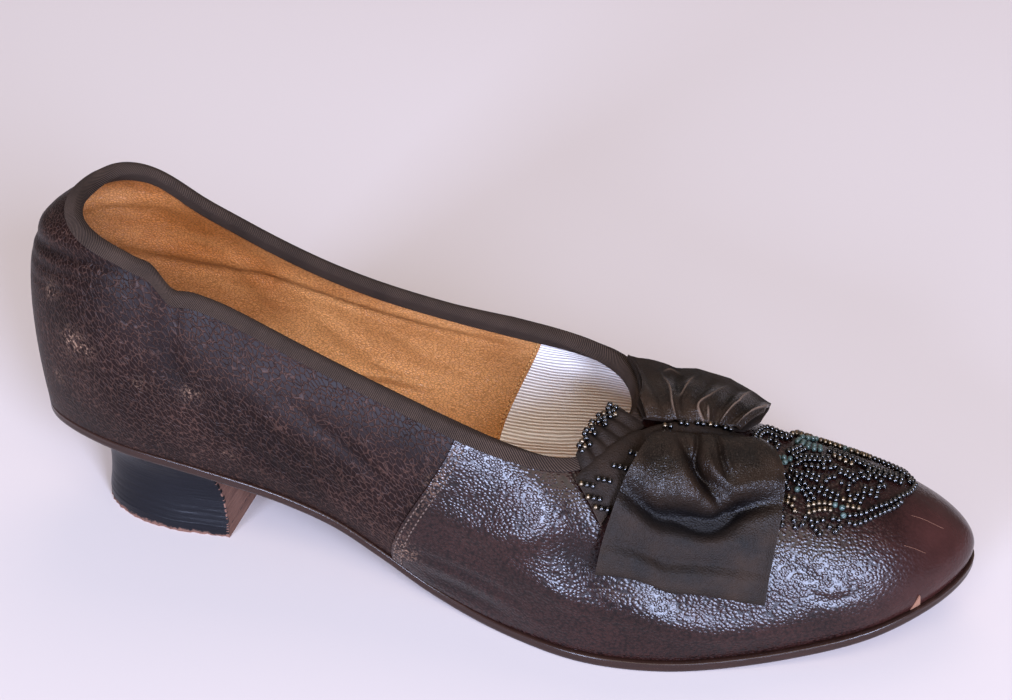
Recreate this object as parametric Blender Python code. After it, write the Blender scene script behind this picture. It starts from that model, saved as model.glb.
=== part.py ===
"""Low-cut slipper with a louis heel, for the right foot.

A hollow kid upper stands on a thin leather sole and a small waisted heel. Tape binds the topline,
and a leather bow lies over beadwork on the vamp. X runs from heel to toe, Y to the wearer's left and
Z up from the floor. Tables and constants are in millimetres, and MM turns them into metres.
"""

from collections import namedtuple

import bmesh
import bpy
import numpy as np

MM = 0.001
GAP = 0.3

# Driving dimensions
LENGTH = 245.0
CENTRE_X, CENTRE_Y = 126.26, 0.1
WALL = 1.6
SEAM_LAP = 0.7
SOLE_THICKNESS = 2.8
SOLE_EDGE_ROUND = 0.7
INSOLE_THICKNESS = 1.6
TAPE = 0.7
TAPE_OUTSIDE = 2.6
TAPE_INSIDE = 3.4
TAPE_SLACK = 0.5
TOP_PIECE = 3.0
NEAR, FAR = -1.0, 1.0

# Each section of the upper rises in a fan from the sole's edge, the foot, to the topline or, past the
# throat, to the ridge of the vamp. axis_x is where the section's direction starts on the centre line.
# low_out, low_up, high_out and high_down are the arms that bulge the wall, and welt is how far the sole
# stands out past the foot.
Section = namedtuple(
    "Section",
    "name axis_x foot_x foot_y top_x near_y near_z far_y far_z low_out low_up high_out high_down welt",
)
SECTIONS = [
    Section("back", 32, 8.5, 0.0, 23.5, 0.0, 88.0, 0.0, 88.0, -2, 16, 24, 7, 0.0),
    Section("corner", 32, 13.5, 11.0, 26.0, 10.0, 86.2, 10.8, 88.8, 2.5, 15, 14, 10, 0.0),
    Section("heel_side", 40, 30.5, 18.2, 34.5, 16.6, 83.5, 17.0, 86.0, 5, 15, 9, 16, 0.1),
    Section("heel_front", 47, 45.0, 20.2, 44.5, 18.5, 80.0, 18.7, 79.5, 6, 15, 7, 19, 0.2),
    Section("dip", 57, 57.0, 20.8, 54.0, 19.2, 74.5, 19.2, 74.5, 6, 15, 7, 18, 0.3),
    Section("breast", 70, 68.0, 21.3, 69.0, 19.2, 69.5, 19.2, 68.0, 6, 14, 7, 17, 0.4),
    Section("waist", 89, 85.0, 22.0, 94.0, 20.5, 60.5, 20.5, 59.5, 6, 13, 7, 14, 0.5),
    Section("seam", 115, 108.0, 24.3, 124.5, 24.6, 52.0, 24.6, 52.0, 6, 12, 6, 11, 0.6),
    Section("joint", 136, 132.0, 30.6, 139.0, 25.8, 48.8, 25.0, 49.5, 4, 13, 8, 8, 1.0),
    Section("ball", 151, 152.0, 36.2, 151.0, 23.8, 46.8, 21.5, 48.0, 3, 14, 12, 4, 1.5),
    Section("instep", 161, 167.0, 37.0, 158.5, 13.5, 47.0, 11.5, 47.8, 2.5, 15, 19, 1, 1.7),
    Section("throat", 170, 180.0, 35.0, 161.5, 0.0, 47.5, 0.0, 47.5, 2.5, 15, 27, 0, 1.8),
    Section("vamp", 183, 196.0, 30.6, 178.0, 0.0, 43.6, 0.0, 43.6, 3, 14, 25, 0, 1.9),
    Section("tread", 199, 211.0, 26.2, 195.0, 0.0, 40.2, 0.0, 40.2, 3, 12, 21, 0, 2.0),
    Section("toe_side", 212, 223.0, 22.0, 210.0, 0.0, 37.2, 0.0, 37.2, 3, 10, 17, 0, 2.0),
    Section("toe_round", 220, 232.5, 16.0, 220.5, 0.0, 34.6, 0.0, 34.6, 3, 9, 13, 0, 2.0),
    Section("toe_corner", 226, 239.5, 9.0, 227.5, 0.0, 32.2, 0.0, 32.2, 3, 7, 10, 0, 2.0),
    Section("tip", 229, 243.0, 0.0, 231.0, 0.0, 30.6, 0.0, 30.6, 3, 6, 9, 0, 2.0),
]
ROW = {section.name: number for number, section in enumerate(SECTIONS)}
SEAM, BALL, THROAT, TIP = ROW["seam"], ROW["ball"], ROW["throat"], ROW["tip"]

# Height of the sole's underside above the floor, from the heel seat through the arch to the tread
SolePoint = namedtuple("SolePoint", "x height")
SOLE_RISE = [
    SolePoint(8, 26.5),
    SolePoint(35, 24.3),
    SolePoint(60, 21.8),
    SolePoint(80, 18.6),
    SolePoint(92, 15.0),
    SolePoint(104, 9.2),
    SolePoint(116, 3.8),
    SolePoint(128, 0.9),
    SolePoint(142, 0.0),
]
TREAD_FRONT = 178.0
TOE_SPRING = 13.8
SPRING_POWER = 1.9
# The toe of a right shoe sways a little to the wearer's left
TOE_SWAY = 6.0
SWAY_START = 150.0

# Outline of the heel at each share of its height, from the top piece to the seat
HeelLevel = namedtuple("HeelLevel", "rise rear_x breast_x half_width breast_half_width")
HEEL_LEVELS = [
    HeelLevel(0.00, 22.0, 60.5, 15.8, 15.0),
    HeelLevel(0.25, 22.8, 60.0, 15.0, 14.2),
    HeelLevel(0.50, 23.0, 59.0, 14.6, 13.8),
    HeelLevel(0.75, 21.6, 57.0, 15.4, 14.6),
    HeelLevel(1.00, 16.0, 54.5, 17.8, 17.2),
]
HEEL_ROUND_LENGTH = 26.0

# The bow lies askew over the vamp. Its knot runs along the shoe, and each loop is a leather band that
# leaves the knot, puffs up, folds at its end and comes back underneath. share runs from knot to fold.
BOW_THICKNESS = 0.9
KNOT_BACK, KNOT_FRONT = 167.3, 188.0
KNOT_Y, KNOT_SKEW = -4.0, 0.28
KNOT_HALF_WIDTH = 3.2
KNOT_HEIGHT = 4.6
KNOT_END_SHARE = 0.45
LoopPlan = namedtuple("LoopPlan", "share back_x front_x")
NEAR_LOOP = [
    LoopPlan(0.00, 167.5, 187.0),
    LoopPlan(0.15, 166.0, 192.5),
    LoopPlan(0.35, 164.6, 197.0),
    LoopPlan(0.60, 162.8, 198.8),
    LoopPlan(1.00, 160.3, 198.5),
]
NEAR_LOOP_END_Y = (-35.5, -28.0)
NEAR_LOOP_LIFT, NEAR_LOOP_PUFF = 0.25, 1.0
FAR_LOOP = [
    LoopPlan(0.00, 164.5, 186.0),
    LoopPlan(0.30, 161.0, 190.0),
    LoopPlan(0.75, 156.8, 191.0),
    LoopPlan(1.00, 155.0, 187.5),
]
FAR_LOOP_END_Y = (15.0, 17.3)
FAR_LOOP_LIFT, FAR_LOOP_PUFF = 1.2, 0.6
# The far loop stands off the vamp: how far its end has risen, at shares from the loop's back to its front
EndRise = namedtuple("EndRise", "across rise")
NEAR_RISE = [EndRise(0.0, 0.0), EndRise(1.0, 0.0)]
FAR_RISE = [EndRise(0.0, 0.0), EndRise(0.25, 2.0), EndRise(0.5, 4.6), EndRise(0.75, 4.9), EndRise(1.0, 3.2)]
LoopPath = namedtuple("LoopPath", "share height leaf")
LOOP_PATH = [
    LoopPath(0.00, 4.4, "top"),
    LoopPath(0.08, 6.8, "top"),
    LoopPath(0.20, 8.6, "top"),
    LoopPath(0.34, 8.4, "top"),
    LoopPath(0.48, 6.0, "top"),
    LoopPath(0.60, 4.8, "top"),
    LoopPath(0.76, 4.6, "top"),
    LoopPath(0.90, 4.0, "top"),
    LoopPath(0.97, 3.2, "top"),
    LoopPath(1.00, 1.9, "fold"),
    LoopPath(0.96, 0.5, "under"),
    LoopPath(0.76, 0.5, "under"),
    LoopPath(0.50, 0.5, "under"),
    LoopPath(0.24, 0.5, "under"),
    LoopPath(0.00, 0.5, "under"),
]
LOOP_ACROSS = 9
GATHERS = 3
GATHER_DEPTH = 0.7
EDGE_DROP = 1.2
# The ribbon's tail beside the near loop, by its corners in plan
TAIL_KNOT_EDGE = ((165.6, -10.6), (163.0, -20.0))
TAIL_FREE_EDGE = ((152.8, -27.2), (160.0, -31.4))
TAIL_HEIGHT = 1.3
# Beaded petals over the binding, on the near half of the throat
PETALS = 5
PETAL_OVERHANG = 2.8
PETAL_SCALLOP = 2.0
PETAL_CURL = 1.4
PETAL_START, PETAL_STOP = 0.1, 0.4
PETAL_AHEAD = 1.6
# Beaded leaf on the vamp, in low relief: its half width at each share of the way from the bow to the tip
LeafPlan = namedtuple("LeafPlan", "share half_width")
LEAF = [
    LeafPlan(0.00, 14.6),
    LeafPlan(0.10, 15.8),
    LeafPlan(0.30, 15.4),
    LeafPlan(0.47, 13.4),
    LeafPlan(0.64, 10.4),
    LeafPlan(0.81, 6.4),
    LeafPlan(0.94, 2.6),
    LeafPlan(1.00, 0.6),
]
LEAF_BACK, LEAF_BACK_SLANT, LEAF_TIP = 196.5, 4.0, 228.5
LEAF_SKEW = 3.0
BEAD_ROWS = 6
BEAD_BASE = 0.8
BEAD_TOP = 2.0

COLUMNS_PER_SECTION = 3
WALL_ROWS = 11
SEAM_STEP_SHARE = 0.03


def spline(knots, values, at):
    """Natural cubic spline through values at the knots, read at other places."""
    knots, values = np.asarray(knots, float), np.asarray(values, float)
    step = np.diff(knots)
    count = len(knots)
    matrix = np.eye(count)
    right = np.zeros(count)
    for k in range(1, count - 1):
        matrix[k, k - 1 : k + 2] = step[k - 1], 2 * (step[k - 1] + step[k]), step[k]
        right[k] = 6 * ((values[k + 1] - values[k]) / step[k] - (values[k] - values[k - 1]) / step[k - 1])
    bend = np.linalg.solve(matrix, right)
    k = np.clip(np.searchsorted(knots, at) - 1, 0, count - 2)
    a, b = knots[k + 1] - at, at - knots[k]
    h = step[k]
    return (
        (bend[k] * a**3 + bend[k + 1] * b**3) / (6 * h)
        + (values[k] / h - bend[k] * h / 6) * a
        + (values[k + 1] / h - bend[k + 1] * h / 6) * b
    )


def mirrored_spline(values, at, sign):
    """Spline over numbered sections that meets its mirror image at both ends.

    sign is 1 for a size that is alike on both sides, and -1 for one that changes sign."""
    values = np.asarray(values, float)
    last = len(values) - 1
    padded = np.concatenate([sign * values[3:0:-1], values, sign * values[last - 1 : last - 4 : -1]])
    return spline(np.arange(-3, last + 4), padded, at)


def column(name, rows=SECTIONS):
    return np.array([getattr(section, name) for section in rows], float)


def sole_under(x):
    """Height of the sole's underside: a smooth fall from the heel seat, a flat tread and a toe spring."""
    x = np.asarray(x, float)
    knots = np.array([point.x for point in SOLE_RISE])
    heights = np.array([point.height for point in SOLE_RISE])
    slopes = np.gradient(heights, knots)
    slopes[-1] = 0.0
    k = np.clip(np.searchsorted(knots, x) - 1, 0, len(knots) - 2)
    h = knots[k + 1] - knots[k]
    t = np.clip((x - knots[k]) / h, 0, 1)
    fall = (
        heights[k] * (1 + 2 * t) * (1 - t) ** 2
        + slopes[k] * h * t * (1 - t) ** 2
        + heights[k + 1] * t * t * (3 - 2 * t)
        + slopes[k + 1] * h * t * t * (t - 1)
    )
    spring = TOE_SPRING * (np.clip(x - TREAD_FRONT, 0, None) / (LENGTH - TREAD_FRONT)) ** SPRING_POWER
    return np.where(x > knots[-1], spring, np.maximum(fall, 0))


def foot_line(u):
    """Plan place of the upper's lower edge on the near side, and the outward direction there."""
    x = mirrored_spline(column("foot_x"), u, 1)
    y = mirrored_spline(column("foot_y"), u, -1)
    step = 1e-3
    dx = mirrored_spline(column("foot_x"), u + step, 1) - mirrored_spline(column("foot_x"), u - step, 1)
    dy = mirrored_spline(column("foot_y"), u + step, -1) - mirrored_spline(column("foot_y"), u - step, -1)
    length = np.hypot(dx, dy)
    return x, y, -dy / length, dx / length


def top_line(u, side):
    """Topline from the back to the throat, and from there the ridge of the vamp to the toe."""
    opening, ridge = SECTIONS[: THROAT + 1], SECTIONS[THROAT:]
    open_u = np.minimum(u, THROAT)
    names = ("near_y", "near_z") if side == NEAR else ("far_y", "far_z")
    x = mirrored_spline(column("top_x", opening), open_u, 1)
    y = mirrored_spline(column(names[0], opening), open_u, -1)
    z = mirrored_spline(column(names[1], opening), open_u, 1)
    numbers = np.arange(THROAT, TIP + 1)
    closed_u = np.maximum(u, THROAT)
    past = u > THROAT
    x = np.where(past, spline(numbers, column("top_x", ridge), closed_u), x)
    z = np.where(past, spline(numbers, column("near_z", ridge), closed_u), z)
    return x, np.where(past, 0.0, y), z


def ridge_slope(u):
    """Fall of the ridge per length, which eases in over the last section before the throat."""
    step = 1e-3
    at = np.clip(u, THROAT, TIP - 2 * step)
    x0, _, z0 = top_line(at + 1e-6, NEAR)
    x1, _, z1 = top_line(at + step, NEAR)
    return (z1 - z0) / (x1 - x0) * np.clip(u - THROAT + 1, 0, 1)


def wall(u, v, side):
    """Points of the upper's outer face, from the foot at v 0 to the topline or ridge at v 1."""
    u, v = np.broadcast_arrays(np.asarray(u, float), np.asarray(v, float))
    arm = {name: mirrored_spline(column(name), u, 1) for name in ("low_out", "low_up", "high_out", "high_down")}
    foot_x, foot_y, _, _ = foot_line(u)
    foot_z = sole_under(foot_x) + SOLE_THICKNESS + GAP
    top_x, top_y, top_z = top_line(u, side)
    axis_x = mirrored_spline(column("axis_x"), u, 1)
    reach = np.hypot(foot_x - axis_x, foot_y)
    out_x, out_y = (foot_x - axis_x) / reach, foot_y / reach
    slope = ridge_slope(u)
    weights = (1 - v) ** 3, 3 * v * (1 - v) ** 2, 3 * v * v * (1 - v), v**3
    xs = foot_x, foot_x + arm["low_out"] * out_x, top_x + arm["high_out"] * out_x, top_x
    ys = foot_y, foot_y + arm["low_out"] * out_y, top_y + arm["high_out"] * out_y, top_y
    zs = foot_z, foot_z + arm["low_up"], top_z - arm["high_down"] + slope * arm["high_out"] * out_x, top_z
    mix = [sum(weight * place for weight, place in zip(weights, places)) for places in (xs, ys, zs)]
    return np.stack([mix[0], side * mix[1], mix[2]], -1)


def wall_normal(u, v, side):
    """Outward direction of the upper's wall. Along the ridge, and close to the throat where a section
    runs along the topline, it is the ridge's own upward direction."""
    u, v = np.broadcast_arrays(np.asarray(u, float), np.asarray(v, float))
    step = 1e-3
    before = np.where(np.abs(u - THROAT) < 2 * step, u, u - step)
    along = wall(u + step, v, side) - wall(before, v, side)
    high, low = np.minimum(v + step, 1), np.maximum(v - step, 0)
    up = wall(u, high, side) - wall(u, low, side)
    normal = np.cross(along, up) * side * -1
    normal /= np.maximum(np.linalg.norm(normal, axis=-1, keepdims=True), 1e-12)
    slope = ridge_slope(np.maximum(u, THROAT))
    ridge = np.stack([-slope, np.zeros_like(slope), np.ones_like(slope)], -1)
    ridge /= np.linalg.norm(ridge, axis=-1, keepdims=True)
    near_throat = np.clip(u - THROAT + 1, 0, 1) ** 2 * np.clip(10 * v - 9, 0, 1)
    share = np.where(u >= THROAT, v >= 1, near_throat)[..., None]
    normal = (1 - share) * normal + share * ridge
    return normal / np.linalg.norm(normal, axis=-1, keepdims=True)


def lap(u):
    """Extra height of the vamp, which lies over the quarters from the side seam forwards."""
    return SEAM_LAP * (np.asarray(u, float) > SEAM)


def shell(u, v, side, offset):
    """The wall's face moved out by an offset, or in where it is negative."""
    return wall(u, v, side) + np.asarray(offset, float)[..., None] * wall_normal(u, v, side)


def section_columns(first, last):
    """Numbers of the sections and of the columns between them, with a close pair at the side seam."""
    steps = np.linspace(first, last, int(round((last - first) * COLUMNS_PER_SECTION)) + 1)
    steps = steps[np.abs(steps - SEAM) > 1e-6]
    seam = [u for u in (SEAM, SEAM + SEAM_STEP_SHARE) if first < u < last]
    return np.sort(np.concatenate([steps, seam]))


def ring_of_columns(last):
    """Columns all the way round: the near side from the back, then the far side from the front back."""
    near = section_columns(0, last)
    u = np.concatenate([near, near[-2:0:-1]])
    side = np.concatenate([np.full(len(near), NEAR), np.full(len(near) - 2, FAR)])
    return u, side


def by_side(function, u, side, *values):
    """Works a function out on both sides and joins the columns in ring order."""
    made = [function(u[side == which], *[v[side == which] for v in values], which) for which in (NEAR, FAR)]
    return np.concatenate(made)


def material(name, colour, roughness, metallic=0.0):
    made = bpy.data.materials.new(name)
    made.use_nodes = True
    shader = made.node_tree.nodes["Principled BSDF"]
    shader.inputs["Base Color"].default_value = (*colour, 1.0)
    shader.inputs["Roughness"].default_value = roughness
    shader.inputs["Metallic"].default_value = metallic
    return made


def add_object(name, points, faces, finish):
    """Makes one named solid from points in millimetres, measured from the back of the heel."""
    swayed = np.array(points, float)
    swayed[:, 1] += TOE_SWAY * (np.clip(swayed[:, 0] - SWAY_START, 0, None) / (LENGTH - SWAY_START)) ** 2
    centred = (swayed - [CENTRE_X, CENTRE_Y, 0]) * MM
    mesh = bpy.data.meshes.new(name)
    mesh.from_pydata(centred.tolist(), [], faces)
    body = bmesh.new()
    body.from_mesh(mesh)
    bmesh.ops.remove_doubles(body, verts=body.verts, dist=1e-7)
    bmesh.ops.dissolve_degenerate(body, edges=body.edges, dist=1e-7)
    bmesh.ops.recalc_face_normals(body, faces=body.faces)
    body.to_mesh(mesh)
    body.free()
    mesh.materials.append(finish)
    mesh.shade_smooth()
    mesh.set_sharp_from_angle(angle=np.radians(40))
    made = bpy.data.objects.new(name, mesh)
    bpy.context.scene.collection.objects.link(made)
    return made


def quads_between(first, second, closed=True):
    """Faces between two rows of point numbers."""
    count = len(first)
    last = count if closed else count - 1
    return [(first[k], first[(k + 1) % count], second[(k + 1) % count], second[k]) for k in range(last)]


def loft(name, rings, finish, wrap=False, caps=True):
    """A solid through rings of points. It wraps round to the first ring, or ends in flat caps."""
    count, size, _ = rings.shape
    numbers = np.arange(count * size).reshape(count, size).tolist()
    faces = []
    for k in range(count if wrap else count - 1):
        faces += quads_between(numbers[k], numbers[(k + 1) % count])
    if caps and not wrap:
        faces += [numbers[0][::-1], numbers[-1]]
    return add_object(name, rings.reshape(-1, 3), faces, finish)


def loft_with_bridged_caps(name, rings, finish):
    """A solid through rings whose first point is on the centre line and whose others are mirrored pairs."""
    count, size, _ = rings.shape
    numbers = np.arange(count * size).reshape(count, size).tolist()
    faces = []
    for k in range(count - 1):
        faces += quads_between(numbers[k], numbers[k + 1])
    for ring in (numbers[0], numbers[-1]):
        faces.append((ring[0], ring[1], ring[-1]))
        faces += [(ring[k], ring[k + 1], ring[-k - 1], ring[-k]) for k in range(1, size // 2)]
    return add_object(name, rings.reshape(-1, 3), faces, finish)


def build_upper(finish):
    """Vamp and quarters as one hollow wall, open along the topline and underneath."""
    u, side = ring_of_columns(TIP)
    near_count = len(section_columns(0, TIP))
    v = np.linspace(0, 1, WALL_ROWS) ** 0.8
    outer, inner = [
        by_side(lambda c, which: shell(c[:, None], v[None], which, offset(c)[:, None] + 0 * v), u, side)
        for offset in (lap, lambda c: np.full(len(c), -WALL))
    ]
    for face in (outer, inner):
        for k in range(near_count, len(u)):
            if u[k] >= THROAT:
                face[k, -1] = face[2 * near_count - 2 - k, -1]
        ridge = u >= THROAT
        face[ridge, -1, 1] = 0.0
        face[[0, near_count - 1], :, 1] = 0.0
        face[:, 0, 2] = sole_under(face[:, 0, 0]) + SOLE_THICKNESS + GAP
    count = len(u)
    grid = np.arange(count * WALL_ROWS).reshape(count, WALL_ROWS)
    faces = []
    for k in range(count):
        here, after = grid[k], grid[(k + 1) % count]
        beyond = count * WALL_ROWS
        faces += quads_between(here.tolist(), after.tolist(), closed=False)
        faces += quads_between((after + beyond).tolist(), (here + beyond).tolist(), closed=False)
        faces.append((int(here[0]), int(here[0] + beyond), int(after[0] + beyond), int(after[0])))
        if max(u[k], u[(k + 1) % count]) <= THROAT:
            faces.append((int(here[-1]), int(after[-1]), int(after[-1] + beyond), int(here[-1] + beyond)))
    return add_object("upper", np.concatenate([outer.reshape(-1, 3), inner.reshape(-1, 3)]), faces, finish)


def sole_outline(margin):
    """Near half of a sole's outline in plan, moved out from the upper's foot by a margin."""
    u = section_columns(0, TIP)
    x, y, out_x, out_y = foot_line(u)
    amount = margin(u)
    x, y = x + amount * out_x, y + amount * out_y
    y[[0, -1]] = 0.0
    return x, y


def build_outsole(finish):
    """Thin sole with a rounded edge, the arch, a flat tread and the toe spring."""
    x, y = sole_outline(lambda u: mirrored_spline(column("welt"), u, 1))
    low_x, low_y = sole_outline(lambda u: mirrored_spline(column("welt"), u, 1) - SOLE_EDGE_ROUND)
    under, top = sole_under(x), sole_under(x) + SOLE_THICKNESS
    edge = [
        np.stack([x, -y, top], -1),
        np.stack([x, -y, (top + under) / 2], -1),
        np.stack([low_x, -low_y, sole_under(low_x)], -1),
    ]
    mirror = [points * [1, -1, 1] for points in edge[::-1]]
    return loft("outsole", np.stack(edge + mirror, 1), finish, caps=False)


def build_insole(finish):
    """Sock inside the upper, on the sole."""
    x, y = sole_outline(lambda u: np.full(len(u), -(WALL + 2 * GAP)))
    bottom = sole_under(x) + SOLE_THICKNESS + GAP
    edge = [np.stack([x, -y, bottom + INSOLE_THICKNESS], -1), np.stack([x, -y, bottom], -1)]
    mirror = [points * [1, -1, 1] for points in edge[::-1]]
    return loft("insole", np.stack(edge + mirror, 1), finish, caps=False)


def heel_outline(rise):
    """Plan ring of the heel at a share of its height: the round back, then the side to the breast."""
    shares = [level.rise for level in HEEL_LEVELS]
    rear, breast, half, breast_half = [
        float(spline(shares, column(name, HEEL_LEVELS), np.array(rise)))
        for name in ("rear_x", "breast_x", "half_width", "breast_half_width")
    ]
    turn = np.radians(np.linspace(0, 90, 9))
    round_x = rear + HEEL_ROUND_LENGTH * (1 - np.cos(turn))
    round_y = half * np.sin(turn)
    side_x = np.linspace(rear + HEEL_ROUND_LENGTH, breast, 4)[1:]
    side_y = np.linspace(half, breast_half, 4)[1:]
    x, y = np.concatenate([round_x, side_x]), np.concatenate([round_y, side_y])
    return np.concatenate([x, x[:0:-1]]), np.concatenate([-y, y[:0:-1]])


def build_heel(finish):
    """Waisted heel block, from the top piece up to the sole."""
    rings = []
    for rise in np.linspace(0, 1, 9):
        x, y = heel_outline(rise)
        base = TOP_PIECE + GAP
        rings.append(np.stack([x, y, base + (sole_under(x) - GAP - base) * rise], -1))
    return loft_with_bridged_caps("heel", np.array(rings), finish)


def build_top_piece(finish):
    """Leather lift that the heel stands on."""
    x, y = heel_outline(0.0)
    rings = np.array([np.stack([x, y, np.full(len(x), z)], -1) for z in (0.0, TOP_PIECE)])
    return loft_with_bridged_caps("heel_top_piece", rings, finish)


def depth_to_v(u, side, depth):
    """Place v on each column at a distance down the wall from the topline."""
    v = np.linspace(1, 0, 81)
    path = wall(u[:, None], v[None], side)
    length = np.concatenate(
        [np.zeros((len(u), 1)), np.cumsum(np.linalg.norm(np.diff(path, axis=1), axis=-1), 1)], 1
    )
    return np.array([np.interp(depth, along, v) for along in length])


def place_on_vamp(x, y, side):
    """Section number u and place v of the vamp's wall above a place in plan, by Newton steps."""
    grid_u, grid_v = np.meshgrid(np.linspace(SEAM, TIP, 90), np.linspace(0.2, 1, 60), indexing="ij")
    grid = wall(grid_u, grid_v, side)
    far = (grid[None, ..., 0] - x[:, None, None]) ** 2 + (grid[None, ..., 1] - y[:, None, None]) ** 2
    nearest = far.reshape(len(x), -1).argmin(1)
    u, v = grid_u.ravel()[nearest], grid_v.ravel()[nearest]
    step = 1e-4
    for _ in range(12):
        here = wall(u, v, side)
        du = (wall(np.minimum(u + step, TIP), v, side) - wall(u - step, v, side)) / (2 * step)
        dv = (here - wall(u, v - step, side)) / step
        miss_x, miss_y = x - here[:, 0], y - here[:, 1]
        cross = du[:, 0] * dv[:, 1] - du[:, 1] * dv[:, 0]
        cross = np.where(np.abs(cross) < 1e-3, np.inf, cross)
        u = np.clip(u + np.clip((miss_x * dv[:, 1] - miss_y * dv[:, 0]) / cross, -0.5, 0.5), SEAM, TIP)
        v = np.clip(v + np.clip((du[:, 0] * miss_y - du[:, 1] * miss_x) / cross, -0.1, 0.1), 0.02, 1)
    return u, v


def over_vamp(x, y, height):
    """Points at a height straight out from the vamp's outer face, above places in plan."""
    x, y, height = np.broadcast_arrays(np.asarray(x, float), np.asarray(y, float), np.asarray(height, float))
    points = np.empty((x.size, 3))
    for side in (NEAR, FAR):
        chosen = np.where(y.ravel() <= 0, NEAR, FAR) == side
        if chosen.any():
            u, v = place_on_vamp(x.ravel()[chosen], y.ravel()[chosen], side)
            points[chosen] = shell(u, v, side, SEAM_LAP + height.ravel()[chosen])
    return points.reshape(*x.shape, 3)


def top_edge(u, side):
    """Points of the wall's top edge, its outward direction, and the direction on past the edge."""
    edge = np.ones(len(u))
    normal = wall_normal(u, edge, side)
    step = 1e-3
    at_throat = (u > THROAT - step)[:, None]
    tangent = wall(np.minimum(u, THROAT - 2 * step) + step, edge, side) - wall(u - step, edge, side)
    tangent = np.where(at_throat, [0.0, -side, 0.0], tangent)
    rise = np.cross(normal, tangent) * -side
    return wall(u, edge, side), normal, rise / np.linalg.norm(rise, axis=-1, keepdims=True)


def tape_section(u, side):
    """Rings of the binding: a folded tape that straddles the wall's top edge."""
    top, normal, rise = top_edge(u, side)
    at_front = np.clip(u - BALL + 1, 0, 1)
    outer = SEAM_LAP * np.clip(2 * (u - SEAM) + 1, 0, 1) + GAP
    at_back = np.clip(2 - u, 0, 1)
    inner = -(WALL + GAP) - TAPE_SLACK * (at_front + at_back)

    def leg(depth, offset):
        down_wall = shell(u, depth_to_v(u, side, depth), side, offset)
        ahead = top - depth * rise
        place_u, place_v = place_on_vamp(ahead[:, 0], ahead[:, 1], side)
        on_vamp = shell(place_u, place_v, side, offset)
        return (1 - at_front[:, None]) * down_wall + at_front[:, None] * on_vamp

    def crest(offset, height):
        return top + np.asarray(offset)[:, None] * normal + height * rise

    crown = GAP + TAPE
    shoulder = 0.6 * crown
    points = [
        leg(TAPE_OUTSIDE, outer + TAPE),
        leg(TAPE_OUTSIDE / 2, outer + TAPE),
        crest(outer + TAPE, 0),
        crest(outer + TAPE / 2, shoulder),
        crest(np.full(len(u), -WALL / 2), crown),
        crest(inner - TAPE / 2, shoulder),
        crest(inner - TAPE, 0),
        leg(TAPE_INSIDE / 2, inner - TAPE),
        leg(TAPE_INSIDE, inner - TAPE),
        leg(TAPE_INSIDE, inner),
        leg(TAPE_INSIDE / 2, inner),
        crest(inner, GAP),
        crest(outer, GAP),
        leg(TAPE_OUTSIDE / 2, outer),
        leg(TAPE_OUTSIDE, outer),
    ]
    return np.stack(points, 1)


def build_binding(finish):
    """Tape round the whole topline."""
    u, side = ring_of_columns(THROAT)
    rings = by_side(tape_section, u, side)
    near_count = int((side == NEAR).sum())
    rings[[0, near_count - 1], :, 1] = 0.0
    return loft("topline_binding", rings, finish, wrap=True)


def band(name, outer, inner, finish):
    """A thin solid between two grids of points, closed along all four edges."""
    rows, across, _ = outer.shape
    front = np.arange(rows * across).reshape(rows, across)
    behind = front + rows * across
    faces = []
    for k in range(rows - 1):
        faces += quads_between(front[k].tolist(), front[k + 1].tolist(), closed=False)
        faces += quads_between(behind[k + 1].tolist(), behind[k].tolist(), closed=False)
    for edge, back_edge in (
        (front[0], behind[0]),
        (front[-1][::-1], behind[-1][::-1]),
        (front[::-1, 0], behind[::-1, 0]),
        (front[:, -1], behind[:, -1]),
    ):
        faces += quads_between(back_edge.tolist(), edge.tolist(), closed=False)
    return add_object(name, np.concatenate([outer.reshape(-1, 3), inner.reshape(-1, 3)]), faces, finish)


def knot_line(x):
    """The knot's centre line in plan."""
    return KNOT_Y + KNOT_SKEW * (x - (KNOT_BACK + KNOT_FRONT) / 2)


def build_loop(name, plan, end_y, rises, side, lift, puff, finish):
    """One loop of the bow: a band out along the top, round the fold and back underneath."""
    share = column("share", LOOP_PATH)[:, None]
    under = LOOP_PATH[-1].height
    height = under + puff * (column("height", LOOP_PATH)[:, None] - under)
    leaf = np.array([point.leaf for point in LOOP_PATH])[:, None]
    across = np.linspace(0, 1, LOOP_ACROSS)[None]
    shares = column("share", plan)
    back_x, front_x = [np.interp(share, shares, column(key, plan)) for key in ("back_x", "front_x")]
    gather = GATHER_DEPTH * np.cos(2 * np.pi * GATHERS * across) * np.clip(1 - 2 * share, 0, 1)
    round_off = EDGE_DROP * (2 * across - 1) ** 4 * np.clip(height - 3, 0, 3) / 3
    height = np.where(leaf == "top", height + gather - round_off, height) + lift
    height = height + share * np.interp(across, column("across", rises), column("rise", rises))
    inset = np.where(leaf == "fold", BOW_THICKNESS / 30, 0)
    drop = np.where(leaf == "top", -BOW_THICKNESS, np.where(leaf == "under", BOW_THICKNESS, 0))
    faces = []
    for at_share, at_height in ((share, height), (share - inset, height + drop)):
        x = back_x + across * (front_x - back_x)
        start = knot_line(x) + side * (KNOT_HALF_WIDTH + 2 * GAP)
        end = end_y[0] + across * (end_y[1] - end_y[0])
        faces.append(over_vamp(x, start + at_share * (end - start), at_height))
    return band(name, faces[0], faces[1], finish)


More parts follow.
